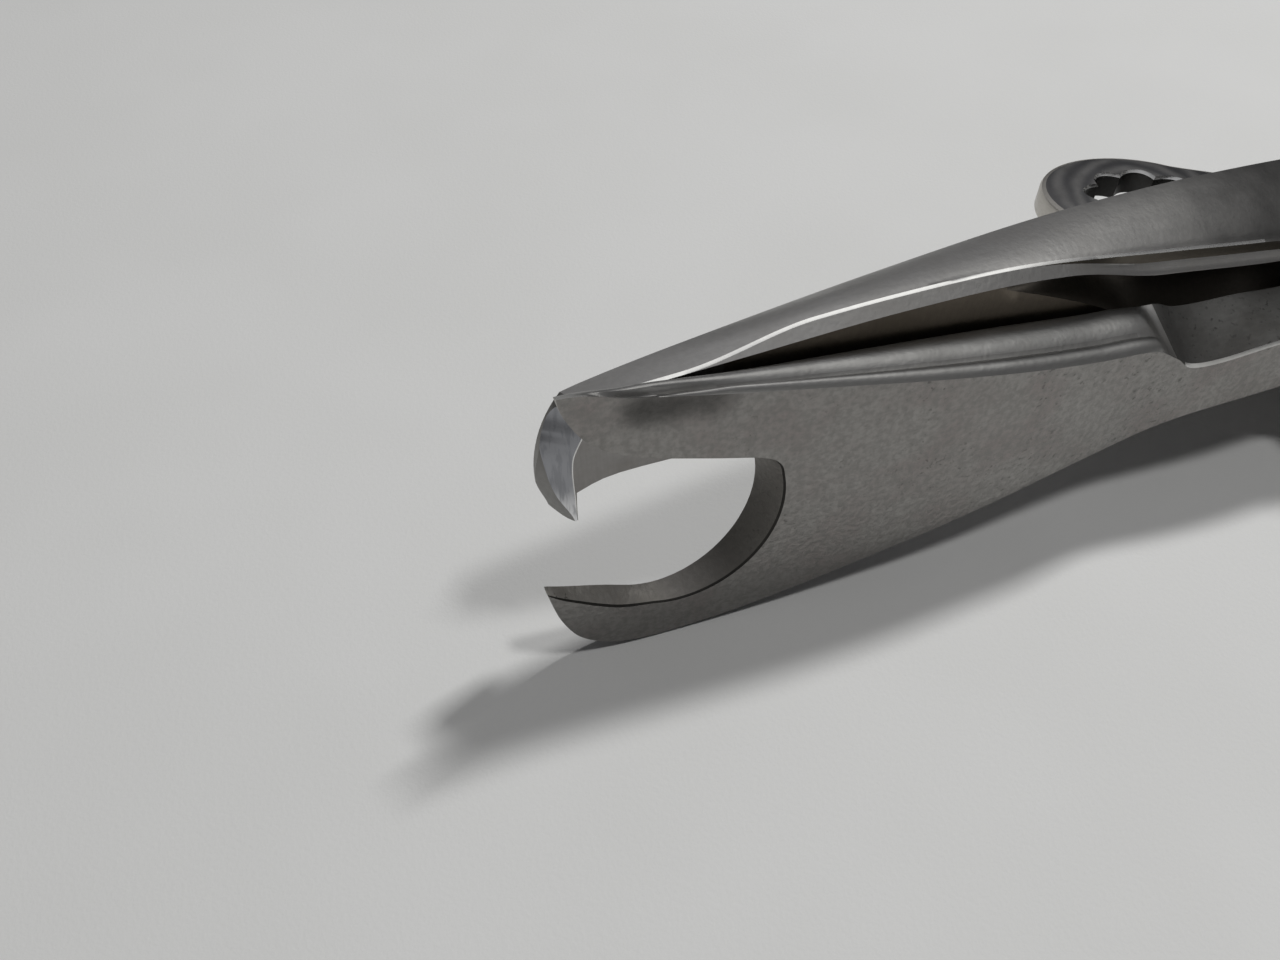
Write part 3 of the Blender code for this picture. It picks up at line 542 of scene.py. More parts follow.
def bar(name, path, widths, thicks, corner, material):
    # Bar with rounded edges swept along a path in the x-z plane
    rings = []
    for i, (x, z) in enumerate(path):
        before, after = path[max(i - 1, 0)], path[min(i + 1, len(path) - 1)]
        along = Vector((after[0] - before[0], after[1] - before[1])).normalized()
        half_w, half_t = widths[i] / 2, thicks[i] / 2
        round_r = min(corner, half_w * 0.98, half_t * 0.98)
        ring = []
        for quarter in range(4):
            su = 1 if quarter in (0, 3) else -1
            sv = 1 if quarter in (0, 1) else -1
            for k in range(7):
                turn = math.pi / 2 * (quarter + k / 6)
                y = su * (half_w - round_r) + round_r * math.cos(turn)
                n = sv * (half_t - round_r) + round_r * math.sin(turn)
                ring.append((x - along.y * n, y, z + along.x * n))
        rings.append(ring)
    return skin(name, rings, lambda c, i: 0, [material])


def handle(side, material):
    # Handle that widens from the joint and is rounded at its end
    path = handle_path(side)
    start, last = path[0][0], path[-1]
    round_from = HANDLE_LEN * (1 - ROUND_SHARE)
    spots = [x for x, z in path if x < round_from]
    spots += [round_from + HANDLE_LEN * ROUND_SHARE * math.sin(math.pi / 2 * i / 10) for i in range(10)]
    run = [(x, handle_z(side, x)) for x in spots] + [last]
    widths, thicks = [], []
    for x, z in run:
        share = ease((x - start) / (HANDLE_LEN * 0.28))
        near_end = max(0.0, (x - round_from) / (HANDLE_LEN * ROUND_SHARE))
        tip = math.sqrt(max(0.05, 1 - near_end ** 2))
        widths.append((HANDLE_ROOT_W + (HANDLE_W - HANDLE_ROOT_W) * share) * tip)
        thicks.append(HANDLE_T * (0.55 + 0.45 * tip))
    return bar("grip", run, widths, thicks, HANDLE_T * 0.36, material)


SCREW_R, SEAT_R, CLEAR = 2.4, 4.9, 0.3


def join_arm(arm, side, material, holes, boss=None):
    # Round joint plate and handle, with the lap, the screw's hole and the small holes cut
    face = LAP + JOINT_T
    plate = turned("plate", [(JOINT_R - 0.2, side * LAP), (JOINT_R, side * (LAP + 0.2)),
                             (JOINT_R, side * (face - 0.3)), (JOINT_R - 0.3, side * face)], material, 96)
    carve(arm, plate, "UNION")
    grip = handle(-side, material)
    floor = side * (LAP + 0.1)
    pocket_r = JOINT_R + 0.5
    carve(grip, turned("pocket", [(pocket_r, floor), (pocket_r, -side * HANDLE_W)], material, 96))
    carve(arm, grip, "UNION")
    if boss:
        carve(arm, boss, "UNION")
    carve(arm, turned("bore", [(SCREW_R + CLEAR, -HANDLE_W), (SCREW_R + CLEAR, HANDLE_W)], material, 48))
    carve(arm, turned("seat", [(SEAT_R, side * face), (SEAT_R, side * HANDLE_W)], material, 64))
    for x, y, radius in holes:
        z = handle_z(-side, x)
        drill = [(radius, z), (radius, z + side * HANDLE_T)]
        carve(arm, turned("drill", drill, material, 32, "Z", (x, y, 0)))


LEAF_SEAT, LEAF_HOLE_R = 33.0, 1.5
STOP_AT, STOP_HOLE_R = 79.0, 1.8
POST_AT, POST_HOLE_R, BOSS_R = (19.5, 3.6), 1.7, 2.9
boss_z = handle_z(-1, POST_AT[0])
boss_half = [(BOSS_R - 0.3, 0.42), (BOSS_R - 0.08, 0.40), (BOSS_R, 0.34)]
boss_rows = [(radius, boss_z - HANDLE_T * share) for radius, share in boss_half]
boss_rows += [(radius, boss_z + HANDLE_T * share) for radius, share in reversed(boss_half)]
boss = turned("boss", boss_rows, hook_satin, 64, "Z", (*POST_AT, 0.0))
hook_holes = [(LEAF_SEAT, 0.0, LEAF_HOLE_R), (STOP_AT, 0.0, STOP_HOLE_R), (*POST_AT, POST_HOLE_R)]
join_arm(hook_arm, 1, hook_satin, hook_holes, boss)
settle(hook_arm, "hook_side", "polished_steel", "hook_arm")


# Notched arm: the second forged stainless bar, flattened to a thin plate with the round nail notch, a
# pointed upper finger and a lower lip. Its face is satin and pitted, its ridge is rolled round and
# polished, and the upper handle is forged in one with it.
# Painted shade: dark patches on the finger just under the start of the rolled ridge, in the hollow there
FINGER_SHADE = [(jaw_spot(u, -1.2, v), 0.2, far, share) for u, v, far, share in
                  ((-0.30, 1.50, 1.6, 0.75), (-0.05, 1.47, 1.7, 0.75), (0.25, 1.45, 1.9, 0.65))]
# Painted shade: darkens the notch wall round its middle, leaving the lip's tip bright where its bevel
# catches the light
WALL_SHADE = (jaw_spot(0.5, -1.0, -0.35), 0.5, 8.0, 0.85)
# notch_satin is darkened by painted shade low down on the lip and chin, and on the finger under the ridge
notch_satin = steel("notch_satin", (0.33, 0.32, 0.305), (0.29, 0.255, 0.245), 0.40, brush=(5.0, 1.5, 0.8),
                    brush_depth=0.35, pits=0.60, stain_share=0.8, peel_depth=1.6, peel_show=0.75,
                    low_shade=0.30, dull=FINGER_SHADE)
notch_polish = steel("notch_polish", (0.43, 0.425, 0.415), (0.35, 0.34, 0.325), 0.40,
                     brush=(0.14, 2.5, 2.5), brush_depth=0.3, pits=0.05, brush_show=0.8)
# Painted shade: a darker band in the valley between the ridge's crown and its bead
notch_valley_shade = steel("notch_valley_shade", (0.32, 0.315, 0.305), (0.25, 0.243, 0.235), 0.42,
                     brush=(0.2, 3.0, 3.0), brush_depth=0.3, pits=0.05)
notch_wall = steel("notch_wall", (0.44, 0.42, 0.39), (0.24, 0.22, 0.19), 0.46, brush=(2.0, 2.0, 2.0),
                   brush_depth=0.3, pits=1.0, stain_share=0.9, peel_depth=1.0, peel_show=0.5,
                   dull=[WALL_SHADE])
# Painted shade: the near-black of the thin line along the notch's front edge
notch_shade_line = steel("notch_shade_line", (0.05, 0.048, 0.044), (0.03, 0.03, 0.028), 0.50, brush=(2.0, 2.0, 2.0),
                   brush_depth=0.3, pits=0.2)
neck_floor = steel("neck_floor", (0.14, 0.138, 0.133), (0.09, 0.086, 0.08), 0.56, brush=(1.5, 4.0, 4.0),
                   brush_depth=0.5, pits=0.5, stain_share=0.7)
neck_shine = steel("neck_shine", (0.66, 0.655, 0.64), (0.54, 0.53, 0.51), 0.36, brush=(3.0, 3.0, 3.0),
                   brush_depth=0.3, pits=0.1)

RIDGE = through([(-1.3, 1.80), (-0.8, 1.795), (-0.35, 1.65), (0.34, 1.49), (1.5, 1.28), (2.6, 1.07),
                 (3.8, 0.83), (4.42, 0.72), (4.70, 0.54), (4.95, 0.37), (5.3, 0.34), (5.85, 0.42),
                 (7.0, 0.50), (7.6, 0.62)])
BELLY = through([(-1.175, -0.36), (-1.06, -0.90), (-0.88, -1.28), (-0.55, -1.51), (-0.1, -1.575),
                 (0.75, -1.48), (2.25, -1.10), (4.3, -0.59), (5.4, -0.38), (7.0, -0.25), (7.6, -0.5)])
PLATE_TOP, PLATE_LOW, TIP_T, LIP_T = 2.75, 2.5, 0.45, 0.8
FLOOR_TILT, TIP_DROP, STEP_DEEP, BELLY_ROUND, NECK_CHAMFER = 1.7, 0.34, 0.11, 0.22, 0.17
CROWN_HIGH, BEAD_HIGH, COVE_DEEP = 0.34, 0.26, 0.20
CROWN_TO, BEAD_FROM, COVE_FROM = 0.70, 0.66, 0.5
FACE_ROWS, ROLL_ROWS, ROUND_ROWS = 26, 28, 4
BACK_SHARES = (0.05, 0.35, 0.7)


def plate_front(u, v):
    share = ease((u + 1.5) / 5)
    top = TIP_T + (PLATE_TOP - TIP_T) * share
    low = LIP_T + (PLATE_LOW - LIP_T) * share
    thick = low + (top - low) * min(1.0, max(0.0, (v + 1.6) / 3))
    thick += (JOINT_T - thick) * ease((u - 4.6) / 2.2)
    return -LAP - RELIEF - thick


def notched_ring(u):
    # From the ridge's front edge down the face, round the belly, up the back and over the rolled ridge
    x = u * NOTCH_R - JAW_REACH
    ridge, belly = RIDGE(u) * NOTCH_R, BELLY(u) * NOTCH_R
    climb = 0.35 * ease((u + 0.5) / 4.5) + 0.65 * ease((u - 4.4) / 0.5)
    lift = FLOOR_TILT * climb * (1 - ease((u - 4.9) / 1.7))
    lift -= TIP_DROP * (1 - ease((u + 0.85) / 0.7))
    chamfer = NECK_CHAMFER * ease((u - 4.75) / 0.2)
    back = -LAP - RELIEF
    on_ridge = ease((u + 0.9) / 1.0) * (1 - ease((u - 4.45) / 0.2))
    step = STEP_DEEP * ease((u + 0.9) / 0.8) * (1 - ease((u - 4.3) / 0.4))
    ring = [(x, plate_front(u, ridge / NOTCH_R), ridge - chamfer)]
    start, end = ridge - 0.07 - chamfer, belly + BELLY_ROUND
    for i in range(FACE_ROWS):
        t = i / (FACE_ROWS - 1)
        z = start + (end - start) * t ** 1.4
        fade = 1 - ease((start - z) / 4.0)
        ring.append((x, plate_front(u, z / NOTCH_R) + step * fade, z))
    front = plate_front(u, belly / NOTCH_R)
    turn_in = min(BELLY_ROUND, (back - front) * 0.45)
    for i in range(1, ROUND_ROWS + 1):
        turn = math.pi / 2 * i / ROUND_ROWS
        ring.append((x, front + turn_in * (1 - math.cos(turn)), belly + BELLY_ROUND * (1 - math.sin(turn))))
    for i in range(ROUND_ROWS):
        turn = math.pi / 2 * i / ROUND_ROWS
        ring.append((x, back - turn_in * (1 - math.sin(turn)), belly + BELLY_ROUND * (1 - math.cos(turn))))
    for t in BACK_SHARES:
        ring.append((x, back, belly + (ridge - belly) * t + BELLY_ROUND * (1 - t)))
    lip = plate_front(u, ridge / NOTCH_R)
    for i in range(ROLL_ROWS):
        t = i / ROLL_ROWS
        crown = CROWN_HIGH * math.sin(math.pi * min(1.0, t / CROWN_TO)) ** 0.8
        bead = BEAD_HIGH * math.sin(math.pi * max(0.0, (t - BEAD_FROM) / (1 - BEAD_FROM))) ** 0.7
        bead *= ease((u + 0.4) / 0.5)
        cove = COVE_DEEP * math.sin(math.pi * max(0.0, (t - COVE_FROM) / (1 - COVE_FROM)))
        cove *= ease((u + 0.75) / 0.3) * (1 - ease(u / 0.5))
        z = ridge + lift * (1 - t) + on_ridge * max(crown, bead) - cove
        ring.append((x, back + (lip - back) * t, z))
    return ring


notched_columns = columns([(-1.174, 0), (-0.7, 0.025), (1.2, 0.06), (4.3, 0.08), (4.9, 0.02), (5.4, 0.05),
                           (7.6, 0.1)])
notched_finishes = [notch_satin, notch_polish, neck_floor, neck_shine, notch_valley_shade]
ROLL_FROM = 1 + FACE_ROWS + 2 * ROUND_ROWS + len(BACK_SHARES)
VALLEY_FROM, VALLEY_TO = 0.60, 0.69


def notched_finish(column, row):
    u = notched_columns[column]
    if row < ROLL_FROM - 1:
        finish = notch_satin
    elif u < 4.72:
        # Rows in the valley take the painted shade
        in_valley = VALLEY_FROM < (row - ROLL_FROM) / ROLL_ROWS < VALLEY_TO and 0.3 < u < 4.3
        finish = notch_valley_shade if in_valley else notch_polish
    else:
        finish = neck_shine if row == ROLL_FROM + ROLL_ROWS - 1 and u > 4.85 else neck_floor
    return notched_finishes.index(finish)


notched_arm = skin("notched_bar", [notched_ring(u) for u in notched_columns], notched_finish,
                   notched_finishes)

# The notch is ground at a slant: its cutting edge at the back is smaller than its front edge
LIP_REAR = [(-1.21, -0.46), (-0.98, -0.585), (-0.65, -0.74)]
LIP_FRONT = [(-1.21, -0.41), (-0.98, -0.63), (-0.55, -0.925)]
FINGER = [(0.65, 0.685), (0.18, 0.82), (-0.34, 1.00), (-0.69, 1.25), (-0.88, 1.59), (-0.93, 1.81)]
OVAL_STEPS = 18


def notch_edge(lip, middle, wide, deep, start, end, corner):
    # Lip, then part of an oval round the notch, then the corner under the finger
    round_part = []
    for i in range(OVAL_STEPS + 1):
        turn = math.radians(start + (end - start) * i / OVAL_STEPS)
        round_part.append((middle[0] + wide * math.cos(turn), middle[1] + deep * math.sin(turn)))
    return lip + round_part + corner


REAR_EDGE = notch_edge(LIP_REAR, (-0.05, 0.12), 0.86, 1.09, -115, 24, [FINGER[0]])
FRONT_EDGE = notch_edge(LIP_FRONT, (0.05, 0.08), 0.905, 1.145, -105, 22, [(0.80, 0.615), FINGER[0]])


def evenly(points, count):
    # The same run of points with even spacing
    run = soften(points, 12)
    lengths = [0.0]
    for (a, b), (c, d) in zip(run, run[1:]):
        lengths.append(lengths[-1] + math.hypot(c - a, d - b))
    spots, k = [], 0
    for i in range(count):
        goal = lengths[-1] * i / (count - 1)
        while k < len(run) - 2 and lengths[k + 1] < goal:
            k += 1
        t = (goal - lengths[k]) / max(1e-9, lengths[k + 1] - lengths[k])
        spots.append(tuple(p + (q - p) * t for p, q in zip(run[k], run[k + 1])))
    return spots


EDGE_STEPS = 90
LINE_DEEP, LINE_WIDE, OVERCUT, PASS = 0.10, 0.035, 0.5, 0.12
WHEEL_Y = (-4.0, -1.8, 0.4)
rears, fores = evenly(REAR_EDGE, EDGE_STEPS), evenly(FRONT_EDGE, EDGE_STEPS)
wheel = [[], [], []]
for i, (rear, fore) in enumerate(zip(rears, fores)):
    along = Vector(fores[min(i + 1, EDGE_STEPS - 1)]) - Vector(fores[max(i - 1, 0)])
    outward = Vector((along.y, -along.x)).normalized() / NOTCH_R
    fore_y = plate_front(*fore)
    thick = -LAP - RELIEF - fore_y
    slant = (Vector(fore) - Vector(rear)) / thick
    seat = Vector(fore) - slant * LINE_DEEP
    fade = ease(i / 6) * ease((EDGE_STEPS - 1 - i) / 8)
    reach = LINE_DEEP + OVERCUT
    out = seat + outward * LINE_WIDE * fade * reach / LINE_DEEP + slant * reach
    deep = Vector(rear) - slant * PASS
    heights = (fore_y - OVERCUT, fore_y + LINE_DEEP, -LAP - RELIEF + PASS)
    for ring, spot, y in zip(wheel, (out, seat, deep), heights):
        ring.append((spot.x * NOTCH_R - JAW_REACH, y, spot.y * NOTCH_R))
rest = scaled(soften(FINGER)[1:] + [(-0.98, 2.4), (-2.2, 2.4), (-2.2, -0.2), (-1.3, -0.3)])
for ring, y in zip(wheel, WHEEL_Y):
    ring += [(x, y, z) for x, z in rest]
# The thin step along the notch's front edge takes the painted shade line
carve(notched_arm, skin("wheel", wheel, lambda c, i: 1 if c == 0 and i < EDGE_STEPS else 0,
                        [notch_wall, notch_shade_line]))

# The catch stud stands where the lever's bite comes to when the lever has swung shut
EYE_AT, TAIL_LEN, CATCH_SWING, STUD_HOLE_R = (-8.9, 11.2), 6.5, math.radians(20), 1.2
STUD_TURN = math.atan2(EYE_AT[1] - POST_AT[1], EYE_AT[0] - POST_AT[0]) - math.pi - CATCH_SWING
STUD_AT = (POST_AT[0] + TAIL_LEN * math.cos(STUD_TURN), POST_AT[1] + TAIL_LEN * math.sin(STUD_TURN))
join_arm(notched_arm, -1, notch_satin, [(LEAF_SEAT, 0.0, LEAF_HOLE_R), (*STUD_AT, STUD_HOLE_R)])
settle(notched_arm, "notched_side", "satin_steel", "notched_arm")


# Pivot: a slotted, domed screw of bright steel from the front, with a dark stamped washer under its
# head, another behind the hooked arm, and a slotted round nut run up on the screw's end.
bright_steel = steel("bright_steel", (0.62, 0.61, 0.595), (0.50, 0.485, 0.46), 0.30,
                     brush=(4.0, 4.0, 4.0), brush_depth=0.3, pits=0.15)
dark_steel = steel("dark_steel", (0.34, 0.34, 0.335), (0.26, 0.25, 0.24), 0.44, brush=(3.0, 3.0, 3.0),
                   brush_depth=0.4, pits=0.3)
WASHER_R, WASHER_T = 4.0, 0.5
HEAD_R, HEAD_T = 4.3, 1.4
NUT_R, NUT_T = 3.7, 1.6
SLOT_W, SLOT_D, CUT_PAST = 1.0, 0.7, 9.0
DOME_FROM, DOME_FALL = math.pi / 2 * 0.35, 0.62
outer_face = LAP + JOINT_T
head_y = -outer_face - 2 * CLEAR - WASHER_T
nut_y = outer_face + 2 * CLEAR + WASHER_T
screw_end = nut_y + NUT_T + 0.4


def slab(name, outline, near, far, material):
    # Cutting tool: outline in x and z, straight through from near to far
    bm = bmesh.new()
    fronts = [bm.verts.new(place(x, near, z)) for x, z in outline]
    backs = [bm.verts.new(place(x, far, z)) for x, z in outline]
    bm.faces.new(fronts)
    bm.faces.new(backs)
    for i in range(len(outline)):
        j = (i + 1) % len(outline)
        bm.faces.new((fronts[i], fronts[j], backs[j], backs[i]))
    return link_mesh(name, bm, [material])


def oblong(left, right, low, high):
    return [(left, low), (right, low), (right, high), (left, high)]


def dome(radius, under, over, steps=6):
    # Rows of a domed head from its crown down to its underside
    rows = []
    for i in range(steps + 1):
        turn = DOME_FROM + (math.pi / 2 - DOME_FROM) * i / steps
        fall = DOME_FALL * (1 - math.cos(turn - DOME_FROM))
        rows.append((radius * math.sin(turn), over + (under - over) * fall))
    return rows + [(radius, under + (over - under) * 0.08), (radius * 0.98, under)]


def washer(name, outer, inner, low, thick, axis="Y", at=(0.0, 0.0, 0.0), material=dark_steel):
    # Stamped ring with one rounded edge and a clean hole
    edge = min(thick, outer - inner) * 0.3
    rows = [(outer - edge, low), (outer - 0.3 * edge, low + 0.3 * edge), (outer, low + edge),
            (outer, low + thick - 0.4 * edge), (outer - 0.4 * edge, low + thick)]
    item = turned(name, rows, material, 64, axis, at)
    carve(item, turned("hole", [(inner, low - thick), (inner, low + 2 * thick)], material, 48, axis, at))
    return item


pivot_screw = turned("pivot_pin", dome(HEAD_R, head_y, head_y - HEAD_T) + [
    (SCREW_R, head_y), (SCREW_R, screw_end - 0.3), (SCREW_R - 0.3, screw_end)], bright_steel, 72)
slot_box = oblong(-CUT_PAST, CUT_PAST, -SLOT_W / 2, SLOT_W / 2)
carve(pivot_screw, slab("slot", slot_box, head_y - CUT_PAST, head_y - HEAD_T + SLOT_D, dark_steel))
settle(pivot_screw, "hook_side", "polished_steel", "pivot_screw")
settle(washer("pivot_front_ring", WASHER_R, SCREW_R + CLEAR, -outer_face - CLEAR - WASHER_T, WASHER_T),
       "hook_side", "dark_steel", "front_washer")
settle(washer("pivot_rear_ring", WASHER_R, SCREW_R + CLEAR, outer_face + CLEAR, WASHER_T),
       "hook_side", "dark_steel", "rear_washer")
pivot_nut = washer("pivot_round_nut", NUT_R, SCREW_R + CLEAR, nut_y, NUT_T, material=bright_steel)
for side in (-1, 1):
    ends = sorted((side * (SCREW_R + 3 * CLEAR), side * CUT_PAST))
    bit = oblong(*ends, -SLOT_W / 2, SLOT_W / 2)
    carve(pivot_nut, slab("slot", bit, nut_y + NUT_T - SLOT_D, nut_y + CUT_PAST, dark_steel))
settle(pivot_nut, "hook_side", "polished_steel", "pivot_nut")


# Leaf springs: two strips of hardened spring steel, one on each handle's inner face, that bear on each
# other at their curled tips and push the handles apart. Each is rolled flat and browned a little by
# heat towards its tip.
LEAF_W, LEAF_T, LEAF_LEN = 5.6, 0.9, 31.0
LEAF_TIP_GAP, LEAF_TAPER = 0.4, 0.21
LEAF_HEAD_R = 2.1


def spring_surface():
    # Rolled steel, browned by heat towards the tip
    material, tree = new_material("spring_steel")
    along = tree.node("SeparateXYZ", None, {0: tree.node("TexCoord", out=3)}, out=0)
    rolled = grain(tree, (0.3, 9.0, 9.0), 4.0)
    cloud = grain(tree, (0.3, 0.3, 0.3), 3.0)
    warm = level(along + 0.006 * (cloud - 0.5), 0.034, 0.047)
    base = tint(cloud, (0.55, 0.545, 0.535), (0.46, 0.45, 0.435))
    base = tint(warm * 0.7, base, (0.40, 0.33, 0.24))
    base = tint(rolled * 0.35, base, (0.34, 0.335, 0.33))
    rough = 0.24 + 0.16 * rolled + 0.1 * cloud
    return finish_surface(material, tree, {"Base Color": base, "Metallic": 1.0, "Roughness": rough},
                          rolled, 0.015, 0.5)


def sweep_tree(material):
    # Node tree: a flat strip with rounded edges along a path, tapered to its tip
    group = bpy.data.node_groups.new("leaf_strip", "GeometryNodeTree")
    group.interface.new_socket(name="Path", in_out="INPUT", socket_type="NodeSocketGeometry")
    for label in ("Width", "Thickness", "Corner", "Taper", "Middle", "Root", "Tip"):
        group.interface.new_socket(name=label, in_out="INPUT", socket_type="NodeSocketFloat")
    group.interface.new_socket(name="Strip", in_out="OUTPUT", socket_type="NodeSocketGeometry")
    source = group.nodes.new("NodeGroupInput")
    size = {socket.name: Wire(group, socket) for socket in source.outputs if socket.name}
    tree = Wire(group)
    path = tree.node("GeometryNodeMeshToCurve", None, {"Mesh": size["Path"]})
    frame_curve = tree.node("GeometryNodeCurvePrimitiveQuadrilateral", {"mode": "RECTANGLE"},
                            {"Width": size["Width"], "Height": size["Thickness"]})
    profile = tree.node("GeometryNodeFilletCurve", {"mode": "POLY"},
                        {"Curve": frame_curve, "Count": 4, "Radius": size["Corner"]})
    strip = tree.node("GeometryNodeCurveToMesh", None,
                      {"Curve": path, "Profile Curve": profile, "Fill Caps": True})
    spot = tree.node("GeometryNodeInputPosition")
    parts = [tree.node("SeparateXYZ", None, {0: spot}, out=i) for i in range(3)]
    share = tree.node("MapRange", None,
                      {"Value": parts[0], "From Min": size["Root"], "From Max": size["Tip"]})
    narrow = 1.0 - size["Taper"] * share
    across = size["Middle"] + (parts[1] - size["Middle"]) * narrow
    moved = tree.node("CombineXYZ", None, {0: parts[0], 1: across, 2: parts[2]})
    strip = tree.node("GeometryNodeSetPosition", None, {"Geometry": strip, "Position": moved})
    strip = tree.node("GeometryNodeRealizeInstances", None, {"Geometry": strip})
    strip = tree.node("GeometryNodeSetMaterial", None, {"Geometry": strip, "Material": material})
    out = group.nodes.new("NodeGroupOutput")
    group.links.new(strip.socket, out.inputs["Strip"])
    return group


leaf_tree = sweep_tree(spring_surface())


def leaf_root(side):
    return handle_z(side, LEAF_SEAT) - side * (HANDLE_T / 2 + CLEAR + LEAF_T / 2)


def leaf(name, side):
    # Strip that lies flat under its screw, bends in towards the other leaf and curls back at its tip
    root = leaf_root(side)
    tip = (leaf_root(1) + leaf_root(-1)) / 2 + side * (LEAF_T / 2 + LEAF_TIP_GAP / 2)
    flat, end = LEAF_HEAD_R * 0.85, LEAF_SEAT + LEAF_LEN
    knots = [(LEAF_SEAT - flat, root), (LEAF_SEAT + flat, root),
             (LEAF_SEAT + LEAF_LEN * 0.42, root + (tip - root) * 0.34),
             (LEAF_SEAT + LEAF_LEN * 0.75, root + (tip - root) * 0.80), (end - LEAF_T, tip),
             (end + LEAF_T * 2, tip + side * LEAF_T * 0.9)]
    run = soften(knots, 10)
    mesh = bpy.data.meshes.new(name)
    mesh.from_pydata([place(x, 0.0, z) for x, z in run], [(i, i + 1) for i in range(len(run) - 1)], [])
    item = bpy.data.objects.new(name, mesh)
    scene.collection.objects.link(item)
    modifier = item.modifiers.new("strip", "NODES")
    modifier.node_group = leaf_tree
    sizes = {"Width": LEAF_W * MM, "Thickness": LEAF_T * MM, "Corner": LEAF_T * 0.3 * MM,
             "Taper": LEAF_TAPER, "Middle": AXIS.y, "Root": place(LEAF_SEAT + LEAF_LEN * 0.3, 0, 0).x,
             "Tip": place(end, 0, 0).x}
    for socket in leaf_tree.interface.items_tree:
        if socket.name in sizes:
            modifier[socket.identifier] = sizes[socket.name]
    graph = bpy.context.evaluated_depsgraph_get()
    made = bpy.data.meshes.new_from_object(item.evaluated_get(graph))
    item.modifiers.clear()
    item.data = made
    return item


settle(leaf("upper_leaf_strip", 1), "upper_spring", "spring_steel", "upper_leaf")
settle(leaf("lower_leaf_strip", -1), "lower_spring", "spring_steel", "lower_leaf")


# Leaf fixings: a small slotted, domed screw of bright steel holds each leaf flat on its handle, with a
# thin dark washer under its head. The screw runs into a blind hole in the handle.
LEAF_HEAD_T, LEAF_SCREW_R, LEAF_WASHER_T = 1.1, 1.2, 0.4


def leaf_fixings(label, side, body):
    at = (LEAF_SEAT, 0.0, 0.0)
    root = leaf_root(side)
    face = root - side * (LEAF_T / 2 + CLEAR)
    top = face - side * LEAF_WASHER_T
    under = top - side * CLEAR
    over = under - side * LEAF_HEAD_T
    end = root + side * (LEAF_T / 2 + CLEAR + HANDLE_T * 0.42)
    ring = washer(label + "_leaf_ring", LEAF_HEAD_R, LEAF_SCREW_R + CLEAR, min(face, top),
                  LEAF_WASHER_T, "Z", at)
    settle(ring, body, "dark_steel", label + "_leaf_washer")
    rows = dome(LEAF_HEAD_R, under, over) + [(LEAF_SCREW_R, under), (LEAF_SCREW_R, end)]
    screw = turned(label + "_leaf_pin", rows, bright_steel, 48, "Z", at)
    half = SLOT_W * 0.3
    depth = sorted((over - side * CUT_PAST / 3, over + side * LEAF_HEAD_T * 0.45))
    bit = oblong(LEAF_SEAT - CUT_PAST, LEAF_SEAT + CUT_PAST, *depth)
    carve(screw, slab("slot", bit, -half, half, dark_steel))
    settle(screw, body, "polished_steel", label + "_leaf_screw")


leaf_fixings("upper", 1, "notched_side")
leaf_fixings("lower", -1, "hook_side")


# Closing stop: a set screw of bright steel stands up near the end of the lower handle and meets the
# upper one when the tool is squeezed shut. A dark, chamfered hexagon nut locks it at its height.
STOP_R, STOP_NUT_R, STOP_NUT_T = 1.5, 2.7, 1.8
THREAD_DEEP, THREAD_ROOT, THREAD_PITCH = 0.16, 0.06, 0.42
stop_base = handle_z(-1, STOP_AT)
stop_seat = stop_base + HANDLE_T / 2 + CLEAR
stop_top = stop_seat + STOP_NUT_T + 0.6
stop_spot = (STOP_AT, 0.0, 0.0)
hexagon = [(STOP_NUT_R, stop_seat), (STOP_NUT_R, stop_seat + STOP_NUT_T)]
stop_nut = turned("stop_hex", hexagon, dark_steel, 6, "Z", stop_spot)
cone_r, round_r = STOP_NUT_R * 0.88, STOP_NUT_R * 1.02
cone = [(cone_r, stop_seat - 0.01), (round_r, stop_seat + 0.3),
        (round_r, stop_seat + STOP_NUT_T - 0.3), (cone_r, stop_seat + STOP_NUT_T + 0.01)]
carve(stop_nut, turned("cone", cone, dark_steel, 72, "Z", stop_spot), "INTERSECT")
stop_bore = [(STOP_R + CLEAR, stop_seat - 3), (STOP_R + CLEAR, stop_top + 3)]
carve(stop_nut, turned("hole", stop_bore, dark_steel, 48, "Z", stop_spot))
settle(stop_nut, "hook_side", "dark_steel", "stop_nut")
thread = [(STOP_R, stop_base + CLEAR)]
ridge_z = stop_seat + 0.1
while ridge_z < stop_top - 0.7:
    root_z = ridge_z + THREAD_DEEP
    thread += [(STOP_R, ridge_z), (STOP_R - THREAD_DEEP, root_z),
               (STOP_R - THREAD_DEEP, root_z + THREAD_ROOT), (STOP_R, root_z + THREAD_ROOT + THREAD_DEEP)]
    ridge_z += THREAD_PITCH
thread += [(STOP_R, stop_top - 0.5), (STOP_R - 0.12, stop_top - 0.25), (STOP_R - 0.5, stop_top)]
settle(turned("stop_pin", thread, bright_steel, 48, "Z", stop_spot),
       "hook_side", "polished_steel", "stop_screw", angle=25)


